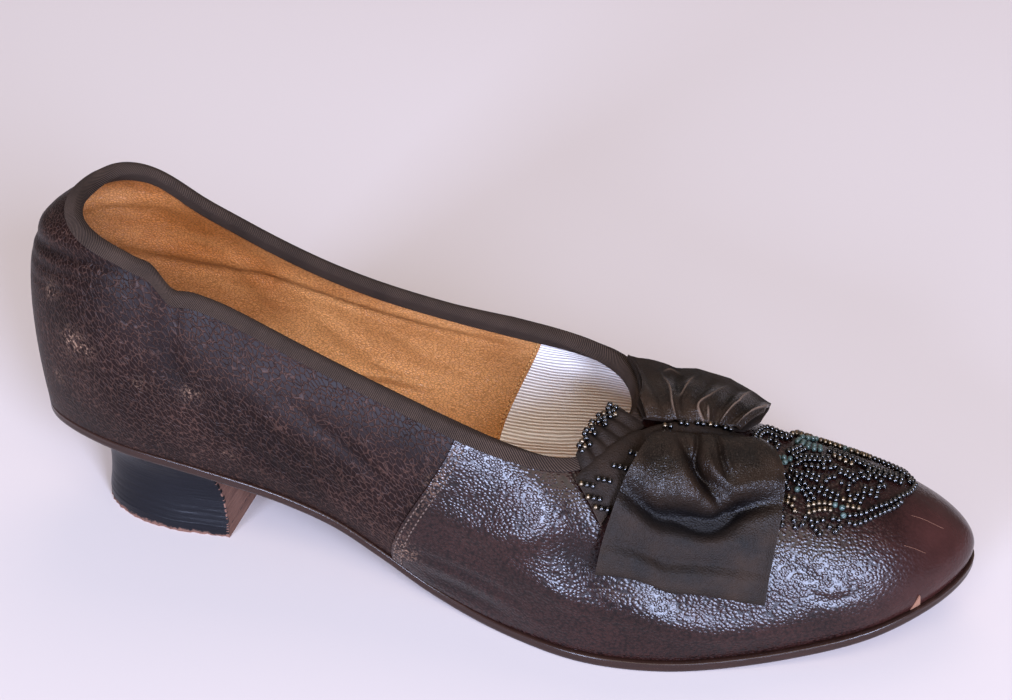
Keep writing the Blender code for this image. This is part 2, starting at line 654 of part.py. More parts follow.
def build_knot(finish):
    """Wrapped strip between the loops."""
    x = np.linspace(KNOT_BACK, KNOT_FRONT, 11)[:, None]
    turn = np.radians(np.linspace(0, 180, 7))[None]
    swell = np.sin(np.pi * np.linspace(0, 1, 11))[:, None] ** 0.5
    ends = KNOT_END_SHARE + (1 - KNOT_END_SHARE) * swell
    y = knot_line(x) + KNOT_HALF_WIDTH * np.cos(turn)
    height = 0.5 + KNOT_HEIGHT * ends * np.sin(turn) ** 0.6
    top = over_vamp(x + 0 * turn, y, height)
    flat = over_vamp(x + 0 * turn, y, 0.5)[:, 1:-1][:, ::-1]
    return loft("bow_knot", np.concatenate([top, flat], 1), finish)


def build_tail(finish):
    """Pointed ribbon tail that shows beside the near loop."""
    along, across = np.linspace(0, 1, 7)[:, None, None], np.linspace(0, 1, 5)[None, :, None]
    start = (1 - across) * np.array(TAIL_KNOT_EDGE[0]) + across * np.array(TAIL_KNOT_EDGE[1])
    end = (1 - across) * np.array(TAIL_FREE_EDGE[0]) + across * np.array(TAIL_FREE_EDGE[1])
    plan = (1 - along) * start + along * end
    faces = [over_vamp(plan[..., 0], plan[..., 1], TAIL_HEIGHT + rise) for rise in (BOW_THICKNESS, 0.0)]
    return band("bow_tail", faces[0], faces[1], finish)


def build_petals(finish):
    """Scalloped strip of beaded petals over the binding."""
    u = np.linspace(BALL + PETAL_START, THROAT - PETAL_STOP, 31)
    share = np.linspace(0, 1, 31)
    top, normal, rise = top_edge(u, NEAR)
    overhang = PETAL_OVERHANG + PETAL_SCALLOP * np.abs(np.sin(np.pi * PETALS * share))
    base = SEAM_LAP + GAP + TAPE + GAP
    faces = []
    for offset in (base + BOW_THICKNESS, base):
        rows = [
            top + (offset + curl) * normal + reach[:, None] * rise
            for reach, curl in ((overhang, PETAL_CURL), (0 * overhang, 0.0))
        ]
        for depth in (PETAL_AHEAD / 2, PETAL_AHEAD):
            ahead = top - depth * rise
            place_u, place_v = place_on_vamp(ahead[:, 0], ahead[:, 1], NEAR)
            rows.append(shell(place_u, place_v, NEAR, np.full(len(u), offset)))
        faces.append(np.stack(rows, 1))
    return band("throat_petals", faces[0], faces[1], finish)


def build_beadwork(finish):
    """Beaded leaf on the vamp, in ridges that stand for its rows of beads."""
    along = np.linspace(0, 1, 15)[:, None]
    share = np.linspace(-1, 1, 4 * BEAD_ROWS + 1)[None]
    back = LEAF_BACK - LEAF_BACK_SLANT * share
    x = back + along * (LEAF_TIP - back)
    y = LEAF_SKEW * along + share * np.interp(along, column("share", LEAF), column("half_width", LEAF))
    ridge = 0.5 + 0.5 * np.cos(2 * np.pi * BEAD_ROWS * share)
    height = BEAD_BASE + (BEAD_TOP - BEAD_BASE) * ridge + 0 * x
    return band("vamp_beadwork", over_vamp(x, y, height), over_vamp(x, y, GAP), finish)


def clear_scene():
    for thing in list(bpy.data.objects):
        bpy.data.objects.remove(thing)


def build():
    clear_scene()
    kid = material("brown kid leather", (0.07, 0.03, 0.022), 0.35)
    sole_leather = material("sole leather", (0.16, 0.07, 0.04), 0.5)
    sock = material("tan lining leather", (0.5, 0.22, 0.05), 0.45)
    black = material("black heel leather", (0.012, 0.013, 0.016), 0.4)
    tape = material("brown twill tape", (0.06, 0.045, 0.038), 0.8)
    build_upper(kid)
    build_outsole(sole_leather)
    build_insole(sock)
    build_heel(black)
    build_top_piece(sole_leather)
    build_binding(tape)
    ribbon = material("taupe bow leather", (0.035, 0.03, 0.026), 0.45)
    beads = material("jet beads", (0.006, 0.006, 0.007), 0.12)
    build_loop(
        "bow_loop_near", NEAR_LOOP, NEAR_LOOP_END_Y, NEAR_RISE, NEAR, NEAR_LOOP_LIFT, NEAR_LOOP_PUFF, ribbon
    )
    build_loop("bow_loop_far", FAR_LOOP, FAR_LOOP_END_Y, FAR_RISE, FAR, FAR_LOOP_LIFT, FAR_LOOP_PUFF, ribbon)
    build_knot(ribbon)
    build_tail(ribbon)
    build_petals(beads)
    build_beadwork(beads)


build()
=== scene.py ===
"""Looks of a worn kid slipper with a low louis heel, a leather bow and beadwork on the vamp.

X runs from heel to toe, Y to the wearer's left and Z up. Tables are in millimetres, measured from the back
of the heel on the shoe's straight centre line, as in the part's source, and MM turns them into metres.
"""

from collections import namedtuple
from math import cos, radians, sin

import bmesh
import bpy
import numpy as np
from mathutils import Matrix, Vector


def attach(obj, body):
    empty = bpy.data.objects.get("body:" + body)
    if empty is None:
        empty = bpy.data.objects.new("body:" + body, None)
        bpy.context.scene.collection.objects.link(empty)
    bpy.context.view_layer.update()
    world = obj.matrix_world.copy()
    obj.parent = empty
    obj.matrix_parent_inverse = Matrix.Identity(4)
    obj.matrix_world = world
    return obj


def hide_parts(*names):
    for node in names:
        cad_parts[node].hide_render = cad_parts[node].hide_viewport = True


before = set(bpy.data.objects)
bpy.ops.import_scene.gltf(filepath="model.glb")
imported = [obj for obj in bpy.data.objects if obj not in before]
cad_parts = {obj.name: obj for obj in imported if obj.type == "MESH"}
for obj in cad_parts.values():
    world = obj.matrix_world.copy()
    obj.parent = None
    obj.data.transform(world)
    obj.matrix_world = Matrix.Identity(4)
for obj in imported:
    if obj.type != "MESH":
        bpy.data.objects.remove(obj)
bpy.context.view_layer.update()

# Upper
# Vamp and quarters of pebbled brown kid, lasted wet over a wooden foot. The vamp laps over the quarters at
# the side seam, the lower edge is turned in under the insole, and years of wear have left it creased.
MM, METRE = 0.001, 1000.0
GAP = 0.3
LENGTH, CENTRE_X, CENTRE_Y = 245.0, 126.26, 0.1
SOLE_THICKNESS, SEAM_LAP = 2.8, 0.7
KID, WALL = 0.8, 1.6
NEAR, FAR = -1.0, 1.0
TOE_SWAY, SWAY_START, STEP = 6.0, 150.0, 1e-3
Section = namedtuple(
    "Section",
    "name axis_x foot_x foot_y top_x near_y near_z far_y far_z low_out low_up high_out high_down welt",
)
SECTIONS = [
    Section("back", 32, 8.5, 0.0, 23.5, 0.0, 88.0, 0.0, 88.0, -2, 16, 24, 7, 0.0),
    Section("corner", 32, 13.5, 11.0, 26.0, 10.0, 86.2, 10.8, 88.8, 2.5, 15, 14, 10, 0.0),
    Section("heel_side", 40, 30.5, 18.2, 34.5, 16.6, 83.5, 17.0, 86.0, 5, 15, 9, 16, 0.1),
    Section("heel_front", 47, 45.0, 20.2, 44.5, 18.5, 80.0, 18.7, 79.5, 6, 15, 7, 19, 0.2),
    Section("dip", 57, 57.0, 20.8, 54.0, 19.2, 74.5, 19.2, 74.5, 6, 15, 7, 18, 0.3),
    Section("breast", 70, 68.0, 21.3, 69.0, 19.2, 69.5, 19.2, 68.0, 6, 14, 7, 17, 0.4),
    Section("waist", 89, 85.0, 22.0, 94.0, 20.5, 60.5, 20.5, 59.5, 6, 13, 7, 14, 0.5),
    Section("seam", 115, 108.0, 24.3, 124.5, 24.6, 52.0, 24.6, 52.0, 6, 12, 6, 11, 0.6),
    Section("joint", 136, 132.0, 30.6, 139.0, 25.8, 48.8, 25.0, 49.5, 4, 13, 8, 8, 1.0),
    Section("ball", 151, 152.0, 36.2, 151.0, 23.8, 46.8, 21.5, 48.0, 3, 14, 12, 4, 1.5),
    Section("instep", 161, 167.0, 37.0, 158.5, 13.5, 47.0, 11.5, 47.8, 2.5, 15, 19, 1, 1.7),
    Section("throat", 170, 180.0, 35.0, 161.5, 0.0, 47.5, 0.0, 47.5, 2.5, 15, 27, 0, 1.8),
    Section("vamp", 183, 196.0, 30.6, 178.0, 0.0, 43.6, 0.0, 43.6, 3, 14, 25, 0, 1.9),
    Section("tread", 199, 211.0, 26.2, 195.0, 0.0, 40.2, 0.0, 40.2, 3, 12, 21, 0, 2.0),
    Section("toe_side", 212, 223.0, 22.0, 210.0, 0.0, 37.2, 0.0, 37.2, 3, 10, 17, 0, 2.0),
    Section("toe_round", 220, 232.5, 16.0, 220.5, 0.0, 34.6, 0.0, 34.6, 3, 9, 13, 0, 2.0),
    Section("toe_corner", 226, 239.5, 9.0, 227.5, 0.0, 32.2, 0.0, 32.2, 3, 7, 10, 0, 2.0),
    Section("tip", 229, 243.0, 0.0, 231.0, 0.0, 30.6, 0.0, 30.6, 3, 6, 9, 0, 2.0),
]
ROW = {section.name: number for number, section in enumerate(SECTIONS)}
SEAM, BALL, THROAT, TIP = ROW["seam"], ROW["ball"], ROW["throat"], ROW["tip"]
SolePoint = namedtuple("SolePoint", "x height")
SOLE_RISE = [
    SolePoint(8, 26.5), SolePoint(35, 24.3), SolePoint(60, 21.8), SolePoint(80, 18.6), SolePoint(92, 15.0),
    SolePoint(104, 9.2), SolePoint(116, 3.8), SolePoint(128, 0.9), SolePoint(142, 0.0),
]
TREAD_FRONT, TOE_SPRING, SPRING_POWER = 178.0, 13.8, 1.9
TopWave = namedtuple("TopWave", "u width rise")
NEAR_WAVES = [TopWave(3.34, 0.28, 1.2), TopWave(3.92, 0.26, -1.6), TopWave(4.70, 0.60, 0.8)]


def spline(knots, values, at):
    """Natural cubic spline: a cubic between each pair of knots, with matching slope and bend at each knot."""
    knots, values = np.asarray(knots, float), np.asarray(values, float)
    step = np.diff(knots)
    count = len(knots)
    matrix, right = np.eye(count), np.zeros(count)
    for k in range(1, count - 1):
        matrix[k, k - 1 : k + 2] = step[k - 1], 2 * (step[k - 1] + step[k]), step[k]
        right[k] = 6 * ((values[k + 1] - values[k]) / step[k] - (values[k] - values[k - 1]) / step[k - 1])
    bend = np.linalg.solve(matrix, right)
    k = np.clip(np.searchsorted(knots, at) - 1, 0, count - 2)
    a, b, h = knots[k + 1] - at, at - knots[k], step[k]
    return (
        (bend[k] * a**3 + bend[k + 1] * b**3) / (6 * h)
        + (values[k] / h - bend[k] * h / 6) * a
        + (values[k + 1] / h - bend[k + 1] * h / 6) * b
    )


def mirrored_spline(values, at, sign):
    """Spline over the numbered sections, with the values mirrored past both ends, times sign."""
    values = np.asarray(values, float)
    last = len(values) - 1
    padded = np.concatenate([sign * values[3:0:-1], values, sign * values[last - 1 : last - 4 : -1]])
    return spline(np.arange(-3, last + 4), padded, at)


def column(name, rows=SECTIONS):
    """One field of a table as an array."""
    return np.array([getattr(row, name) for row in rows], float)


def sole_under(x):
    """Underside of the sole: cubics through the table, a flat tread, then a power curve up to the toe."""
    x = np.asarray(x, float)
    knots, heights = column("x", SOLE_RISE), column("height", SOLE_RISE)
    slopes = np.gradient(heights, knots)
    slopes[-1] = 0.0
    k = np.clip(np.searchsorted(knots, x) - 1, 0, len(knots) - 2)
    h = knots[k + 1] - knots[k]
    t = np.clip((x - knots[k]) / h, 0, 1)
    fall = (
        heights[k] * (1 + 2 * t) * (1 - t) ** 2
        + slopes[k] * h * t * (1 - t) ** 2
        + heights[k + 1] * t * t * (3 - 2 * t)
        + slopes[k + 1] * h * t * t * (t - 1)
    )
    spring = TOE_SPRING * (np.clip(x - TREAD_FRONT, 0, None) / (LENGTH - TREAD_FRONT)) ** SPRING_POWER
    return np.where(x > knots[-1], spring, np.maximum(fall, 0))


def foot_line(u):
    """Plan place of the upper's lower edge, and the outward direction square to it."""
    ways = [("foot_x", 1), ("foot_y", -1)]
    x, y = [mirrored_spline(column(name), u, sign) for name, sign in ways]
    dx, dy = [
        mirrored_spline(column(name), u + STEP, sign) - mirrored_spline(column(name), u - STEP, sign)
        for name, sign in ways
    ]
    length = np.hypot(dx, dy)
    return x, y, -dy / length, dx / length


def top_line(u, side):
    """Topline splined from the back to the throat, then the ridge, plus the near side's slack waves."""
    opening, ridge = SECTIONS[: THROAT + 1], SECTIONS[THROAT:]
    open_u, closed_u, past = np.minimum(u, THROAT), np.maximum(u, THROAT), u > THROAT
    y_name, z_name = ("near_y", "near_z") if side == NEAR else ("far_y", "far_z")
    x = mirrored_spline(column("top_x", opening), open_u, 1)
    y = mirrored_spline(column(y_name, opening), open_u, -1)
    z = mirrored_spline(column(z_name, opening), open_u, 1)
    numbers = np.arange(THROAT, TIP + 1)
    x = np.where(past, spline(numbers, column("top_x", ridge), closed_u), x)
    z = np.where(past, spline(numbers, column("near_z", ridge), closed_u), z)
    if side == NEAR:
        z = z + sum(wave.rise * np.exp(-(((u - wave.u) / wave.width) ** 2)) for wave in NEAR_WAVES)
    return x, np.where(past, 0.0, y), z


def ridge_slope(u):
    """Fall of the ridge per length, easing in over the last section before the throat."""
    at = np.clip(u, THROAT, TIP - 2 * STEP)
    x0, _, z0 = top_line(at + 1e-6, NEAR)
    x1, _, z1 = top_line(at + STEP, NEAR)
    return (z1 - z0) / (x1 - x0) * np.clip(u - THROAT + 1, 0, 1)


def wall(u, v, side):
    """Lasted face: each section u is a cubic curve from the foot, v 0, to the topline or ridge, v 1."""
    u, v = np.broadcast_arrays(np.asarray(u, float), np.asarray(v, float))
    arms = [mirrored_spline(column(name), u, 1) for name in ("low_out", "low_up", "high_out", "high_down")]
    low_out, low_up, high_out, high_down = arms
    foot_x, foot_y, _, _ = foot_line(u)
    foot_z = sole_under(foot_x) + SOLE_THICKNESS + GAP
    top_x, top_y, top_z = top_line(u, side)
    axis_x = mirrored_spline(column("axis_x"), u, 1)
    reach = np.hypot(foot_x - axis_x, foot_y)
    out_x, out_y = (foot_x - axis_x) / reach, foot_y / reach
    fall = ridge_slope(u) * high_out * out_x
    weights = (1 - v) ** 3, 3 * v * (1 - v) ** 2, 3 * v * v * (1 - v), v**3
    xs = foot_x, foot_x + low_out * out_x, top_x + high_out * out_x, top_x
    ys = foot_y, foot_y + low_out * out_y, top_y + high_out * out_y, top_y
    zs = foot_z, foot_z + low_up, top_z - high_down + fall, top_z
    x, y, z = [sum(weight * place for weight, place in zip(weights, places)) for places in (xs, ys, zs)]
    return np.stack([x, side * y, z], -1)


def to_unit(vectors):
    """Vectors divided by their own lengths."""
    return vectors / np.maximum(np.linalg.norm(vectors, axis=-1, keepdims=True), 1e-12)


def wall_normal(u, v, side):
    """Outward direction: the cross product of the wall's two slopes, or the ridge's own along its line."""
    u, v = np.broadcast_arrays(np.asarray(u, float), np.asarray(v, float))
    before = np.where(np.abs(u - THROAT) < 2 * STEP, u, u - STEP)
    along = wall(u + STEP, v, side) - wall(before, v, side)
    up = wall(u, np.minimum(v + STEP, 1), side) - wall(u, np.maximum(v - STEP, 0), side)
    normal = to_unit(np.cross(along, up) * -side)
    slope = ridge_slope(np.maximum(u, THROAT))
    ridge = to_unit(np.stack([-slope, np.zeros_like(slope), np.ones_like(slope)], -1))
    near_throat = np.clip(u - THROAT + 1, 0, 1) ** 2 * np.clip(10 * v - 9, 0, 1)
    share = np.where(u >= THROAT, v >= 1, near_throat)[..., None]
    return to_unit((1 - share) * normal + share * ridge)


def smooth_step(low, high, value):
    """0 below low, 1 above high, and an S curve between."""
    t = np.clip((value - low) / (high - low), 0, 1)
    return t * t * (3 - 2 * t)


def splined(path, count):
    """Points at even shares along the spline through a path."""
    path = np.asarray(path, float)
    knots, steps = np.linspace(0, 1, len(path)), np.linspace(0, 1, count)
    return np.stack([spline(knots, path[:, k], steps) for k in range(path.shape[1])], -1)


def bell_along(points, path, width):
    """Bell curve of the distance from a splined path: 1 on it, fading across its width and at its ends."""
    line = splined(path, 33)
    close = np.all((points > line.min(0) - 3 * width) & (points < line.max(0) + 3 * width), -1)
    leg = np.diff(line, axis=0)
    off = points[close][:, None] - line[:-1]
    share = np.clip((off * leg).sum(-1) / (leg**2).sum(-1), 0, 1)
    far = np.linalg.norm(off - share[..., None] * leg, axis=-1)
    best = far.argmin(-1)[:, None]
    place = (best + np.take_along_axis(share, best, 1))[:, 0] / len(leg)
    bell = np.zeros(points.shape[:-1])
    bell[close] = np.exp(-((far.min(-1) / width) ** 2)) * np.sin(np.pi * np.clip(place, 0.03, 0.97)) ** 0.6
    return bell


# Wear creases, as soft ridges where height is above nought and troughs where it is below
Crease = namedtuple("Crease", "side width height places")
CREASES = [
    Crease(NEAR, 2.6, 0.7, ((0.0, 0.80), (0.6, 0.82), (1.3, 0.89), (2.0, 0.95))),
    Crease(NEAR, 1.5, -0.9, ((0.0, 0.71), (0.55, 0.74), (1.25, 0.82), (1.95, 0.90), (2.85, 0.95))),
    Crease(NEAR, 1.1, -0.4, ((0.2, 0.66), (0.85, 0.69), (1.6, 0.78), (2.45, 0.86))),
    Crease(NEAR, 0.9, -0.3, ((0.5, 0.60), (1.1, 0.64), (1.8, 0.74), (2.5, 0.80))),
    Crease(FAR, 2.6, 0.7, ((0.0, 0.80), (0.8, 0.83), (1.6, 0.88), (2.4, 0.93))),
    Crease(FAR, 1.6, -0.8, ((0.0, 0.71), (0.8, 0.74), (1.7, 0.80), (2.8, 0.88))),
    Crease(NEAR, 4.0, -0.7, ((3.4, 0.84), (3.9, 0.66), (4.6, 0.50))),
    Crease(NEAR, 5.0, 0.6, ((5.0, 0.72), (5.8, 0.55), (6.5, 0.42))),
    Crease(NEAR, 2.6, -0.6, ((5.2, 0.56), (5.9, 0.42), (6.6, 0.30))),
    Crease(NEAR, 2.2, -0.45, ((4.6, 0.42), (5.4, 0.30), (6.2, 0.20))),
    Crease(NEAR, 2.0, -0.4, ((5.6, 0.72), (6.3, 0.60), (6.9, 0.48))),
    Crease(FAR, 3.4, -0.7, ((3.4, 0.80), (4.2, 0.62), (5.0, 0.46))),
    Crease(FAR, 2.6, -0.6, ((5.0, 0.60), (5.8, 0.44), (6.6, 0.30))),
    Crease(FAR, 2.2, -0.4, ((5.5, 0.74), (6.2, 0.60), (6.8, 0.50))),
    Crease(NEAR, 2.4, -0.7, ((7.3, 0.10), (7.8, 0.13), (8.4, 0.10))),
    Crease(NEAR, 1.6, -0.4, ((7.2, 0.22), (7.8, 0.26), (8.5, 0.22))),
    Crease(NEAR, 4.0, 1.0, ((7.2, 0.52), (7.8, 0.52), (8.4, 0.56), (9.0, 0.60))),
    Crease(NEAR, 4.0, 1.3, (
        (8.2, 0.40), (9.0, 0.33), (9.7, 0.28), (10.6, 0.23), (11.4, 0.17), (12.2, 0.17), (13.2, 0.22),
    )),
    Crease(NEAR, 4.5, -0.9, ((8.5, 0.60), (9.1, 0.52), (9.8, 0.45), (10.7, 0.40), (11.5, 0.35))),
    Crease(NEAR, 1.4, -0.35, ((8.8, 0.42), (9.3, 0.34), (9.6, 0.22))),
    Crease(NEAR, 1.1, -0.3, ((12.6, 0.52), (12.9, 0.42), (13.3, 0.36))),
    Crease(NEAR, 1.0, -0.35, ((12.9, 0.34), (13.2, 0.28), (13.7, 0.30))),
    Crease(NEAR, 0.9, -0.3, ((13.3, 0.44), (13.6, 0.36), (13.8, 0.26))),
    Crease(FAR, 2.2, -0.6, ((7.4, 0.14), (7.9, 0.20), (8.6, 0.16))),
    Crease(FAR, 1.6, -0.4, ((8.7, 0.46), (9.3, 0.36), (9.8, 0.26))),
    Crease(FAR, 1.2, -0.35, ((11.6, 0.50), (12.1, 0.42), (12.6, 0.40))),
    Crease(FAR, 1.0, -0.3, ((12.4, 0.34), (12.9, 0.30), (13.4, 0.34))),
]


def crease_height(creases, points, side):
    """Sum of the creases of one side, each its height times the bell curve of its line on the wall."""
    total = np.zeros(points.shape[:-1])
    for crease in creases:
        if crease.side == side:
            line = wall(*np.array(crease.places).T, side)
            total += crease.height * bell_along(points, line, crease.width)
    return total


def skin(u, v, side, offset):
    """The creased face moved out along its own direction by an offset, or in where it is below nought."""
    face = wall(u, v, side)
    return face + (offset + crease_height(CREASES, face, side))[..., None] * wall_normal(u, v, side)


def run_length(points, axis=0):
    """Length run along lines of points, from nought at their start."""
    legs = np.linalg.norm(np.diff(points, axis=axis), axis=-1)
    return np.insert(np.cumsum(legs, axis), 0, 0.0, axis)


SEAM_STEP = 0.012


def fan(first, last, pitch):
    """Section numbers at an even pitch along the foot, with a close pair at the side seam."""
    fine = np.linspace(first, last, 2001)
    run = run_length(np.stack(foot_line(fine)[:2], -1))
    steps = np.interp(np.linspace(0, run[-1], int(run[-1] / pitch) + 1), run, fine)
    seam = np.array([u for u in (SEAM, SEAM + SEAM_STEP) if first < u < last])
    steps = steps[np.abs(steps[:, None] - seam).min(1, initial=9) > SEAM_STEP]
    return np.sort(np.concatenate([steps, seam]))


def ring(last, pitch):
    """Two halves of a ring of sections: the near side from the back, then the far side back again."""
    near = fan(0, last, pitch)
    return (near, NEAR), (near[::-1], FAR)


def swayed(points):
    """Places in the shoe's frame in metres: the toe of a right shoe sways to the left as a square of x."""
    points = np.array(points, float)
    share = np.clip(points[..., 0] - SWAY_START, 0, None) / (LENGTH - SWAY_START)
    points[..., 1] += TOE_SWAY * share**2
    return (points - [CENTRE_X, CENTRE_Y, 0]) * MM


Patch = namedtuple("Patch", "points uv marks finish", defaults=(None, {}, 0))


def make_piece(name, patches, finishes, sharp=50):
    """One welded mesh from grids of points: quads between neighbours in a grid, then equal places merged."""
    places, faces, uvs, numbers, marks = [], [], [], [], {}
    start = 0
    for patch in patches:
        rows, across = patch.points.shape[:2]
        grid = start + np.arange(rows * across).reshape(rows, across)
        quads = np.stack([grid[:-1, :-1], grid[1:, :-1], grid[1:, 1:], grid[:-1, 1:]], -1).reshape(-1, 4)
        places.append(swayed(patch.points).reshape(-1, 3))
        uvs.append(np.zeros((rows * across, 2)) if patch.uv is None else patch.uv.reshape(-1, 2))
        faces.append(quads)
        numbers.append(np.full(len(quads), patch.finish))
        for key, mark in patch.marks.items():
            marks.setdefault(key, []).append((start, np.broadcast_to(mark, (rows, across)).ravel()))
        start += rows * across
    faces, uvs = np.concatenate(faces), np.concatenate(uvs)
    mesh = bpy.data.meshes.new(name)
    mesh.from_pydata(np.concatenate(places).tolist(), [], faces.tolist())
    mesh.uv_layers.new(name="surface").uv.foreach_set("vector", uvs[faces.ravel()].ravel().astype(np.float32))
    mesh.polygons.foreach_set("material_index", np.concatenate(numbers).astype(np.int32))
    for key, parts in marks.items():
        values = np.zeros(start, np.float32)
        for first, part in parts:
            values[first : first + len(part)] = part
        mesh.attributes.new(key, "FLOAT", "POINT").data.foreach_set("value", values)
    body = bmesh.new()
    body.from_mesh(mesh)
    bmesh.ops.remove_doubles(body, verts=body.verts, dist=1e-6)
    bmesh.ops.dissolve_degenerate(body, edges=body.edges, dist=1e-7)
    bmesh.ops.recalc_face_normals(body, faces=body.faces)
    body.to_mesh(mesh)
    body.free()
    mesh.shade_smooth()
    mesh.set_sharp_from_angle(angle=radians(sharp))
    for finish in finishes:
        mesh.materials.append(finish)
    made = bpy.data.objects.new(name, mesh)
    bpy.context.scene.collection.objects.link(made)
    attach(made, "root")
    return made


def hex_colour(text):
    """Linear colour of an sRGB hex value."""
    shares = np.array([int(text[k : k + 2], 16) / 255 for k in (1, 3, 5)])
    linear = np.where(shares <= 0.04045, shares / 12.92, ((shares + 0.055) / 1.055) ** 2.4)
    return (*linear, 1.0)


def set_sockets(material, node, inputs):
    """Sets a node's inputs, named or in order: other nodes' outputs are linked, hex colours made linear."""
    for key, value in inputs.items() if isinstance(inputs, dict) else enumerate(inputs):
        if isinstance(value, bpy.types.NodeSocket):
            material.node_tree.links.new(value, node.inputs[key])
        else:
            node.inputs[key].default_value = hex_colour(value) if isinstance(value, str) else value


def set_shader(material, **sockets):
    """Sets or links sockets of the material's Principled shader."""
    named = {key.replace("_", " ").title().replace("Ior", "IOR"): value for key, value in sockets.items()}
    set_sockets(material, material.node_tree.nodes["Principled BSDF"], named)


def new_material(name, **sockets):
    """A Principled material with its constant sockets set."""
    made = bpy.data.materials.new(name)
    made.use_nodes = True
    set_shader(made, **sockets)
    return made


def add_node(material, kind, inputs=(), out=0, **settings):
    """Adds one node with its settings and inputs, and gives back one of its outputs."""
    made = material.node_tree.nodes.new("ShaderNode" + kind)
    for key, value in settings.items():
        setattr(made, key, value)
    set_sockets(material, made, inputs)
    return made.outputs[out]


# Full-grain kid, dyed brown. The quarters' glaze has rubbed dull, and their broken net of thin pale ridges on
# a slant is partly that wear and partly painted highlight on the ridges; the vamp keeps its gloss on every
# pebble, and the toe is stretched nearly smooth.
LEATHER_IOR = 1.5
KID_DRIFT, KID_WRINKLE, KID_MOTTLE, KID_SPECKLE, KID_SHIFT = 5.0, 3.4, 15.0, 0.8, 1.2
# The crease colour is painted shade, laid into the crease troughs.
TOE_BROWN, SCUFF_TAN, CREASE_SHADE = "#2f1815", "#8a6c58", "#0b0606"
KidFinish = namedtuple(
    "KidFinish", "name feature cell stretch slant rim core relief edge centre shine rough"
)
KID_FINISHES = [
    KidFinish(
        "dull kid leather", "DISTANCE_TO_EDGE", 1.05, (1.9, 1.0, 0.9), 0.9, 0.0, 0.13, -0.1,
        "#38261f", "#150a08", 0.08, 0.36,
    ),
    KidFinish(
        "glazed kid leather", "F1", 0.75, (1.3, 1.0, 0.9), 0.2, 0.75, 0.15, 0.065,
        "#0c0404", "#22100d", 0.27, 0.2,
    ),
]
kids = []
for row in KID_FINISHES:
    kid = new_material(row.name, ior=LEATHER_IOR, specular_ior_level=row.shine)
    places = add_node(kid, "TexCoord", out="Object")
    on_toe, crease_shading, scuffed = [
        add_node(kid, "Attribute", out="Fac", attribute_name=name) for name in ("toe", "crease_shading", "scuffed")
    ]
    drift = add_node(kid, "TexNoise", {"Vector": places, "Scale": METRE / KID_DRIFT, "Detail": 1.0}, "Color")
    shift = add_node(kid, "VectorMath", (drift, (KID_SHIFT * MM,) * 3, places), operation="MULTIPLY_ADD")
    speckle, wrinkle, mottle = [
        add_node(kid, "TexNoise", {
            "Vector": shift, "Scale": METRE / size, "Detail": detail, "Roughness": 0.6, "Distortion": swirl,
        })
        for size, detail, swirl in ((KID_SPECKLE, 3.0, 0.0), (KID_WRINKLE, 1.0, 1.0), (KID_MOTTLE, 4.0, 0.0))
    ]
    turned = {"Vector": shift, "Rotation": (0, row.slant, 0), "Scale": row.stretch}
    laid = add_node(kid, "Mapping", turned, vector_type="TEXTURE")
    middle = add_node(kid, "TexVoronoi", {"Vector": laid, "Scale": METRE / row.cell}, feature=row.feature)
    dome = add_node(kid, "MapRange", (middle, row.rim, row.core), interpolation_type="SMOOTHSTEP")
    relieved = add_node(kid, "MapRange", (on_toe, 0.0, 1.0, 1.0, 0.4))
    grain = add_node(kid, "Math", (wrinkle, 0.5, dome), operation="MULTIPLY_ADD")
    height = add_node(kid, "Math", (grain, relieved), operation="MULTIPLY")
    bumps = {"Height": height, "Strength": 1.0, "Distance": abs(row.relief) * MM}
    relief = add_node(kid, "Bump", bumps, invert=row.relief < 0)
    worn_off = add_node(kid, "MapRange", (speckle, 0.42, 0.62, 0.0, 0.9))
    broken = add_node(kid, "Math", (dome, worn_off), operation="MAXIMUM")
    # On the dull kid the pale cell rims are partly rubbed wear and partly painted highlight on the ridges.
    net = add_node(kid, "MixRGB", (broken, row.edge, row.centre))
    cap = add_node(kid, "MixRGB", (on_toe, net, TOE_BROWN))
    patchy = add_node(kid, "MapRange", (mottle, 0.3, 0.7, 0.65, 1.35))
    toned = add_node(kid, "VectorMath", {0: cap, "Scale": patchy}, operation="SCALE")
    bare_dots = add_node(kid, "MapRange", (speckle, 0.5, 0.64), interpolation_type="SMOOTHSTEP")
    showing = add_node(kid, "Math", (bare_dots, scuffed), operation="MULTIPLY")
    # Bare tan scuff spots: real rubbed wear.
    rubbed_and_lit = add_node(kid, "MixRGB", (showing, toned, SCUFF_TAN))
    # Painted shade: the crease troughs are mixed towards near-black.
    dusk = add_node(kid, "MixRGB", (crease_shading, rubbed_and_lit, CREASE_SHADE))
    haze = add_node(kid, "Math", (mottle, 0.1, row.rough), operation="MULTIPLY_ADD")
    set_shader(kid, base_color=dusk, roughness=haze, normal=relief)
    kids.append(kid)

COLUMN_PITCH, WALL_ROWS, HIDDEN_ROWS = 0.95, 84, 12
TOE_SMOOTH, SEAM_WEAR, SEAM_WEAR_AT, SEAM_WEAR_WIDTH = (216.0, 238.0), 0.22, 1.8, 0.9
Scuff = namedtuple("Scuff", "x y z size strength")
SCUFFS = [
    Scuff(26.5, -21.0, 57.0, 3.4, 0.7), Scuff(31.0, -22.0, 56.0, 2.0, 0.6),
    Scuff(20.0, -17.0, 68.0, 2.4, 0.5), Scuff(58.0, -24.5, 50.0, 2.2, 0.8),
    Scuff(66.0, -25.0, 33.0, 1.2, 0.9), Scuff(45.0, -23.5, 50.0, 1.5, 0.6),
    Scuff(20.0, -16.0, 44.0, 2.0, 0.5), Scuff(112.0, -28.5, 16.0, 3.0, 0.7),
    Scuff(120.0, -27.0, 38.0, 2.0, 0.7),
]


def strip(first, second):
    """A two-row grid between two edges."""
    return Patch(np.stack([first, second], 0))


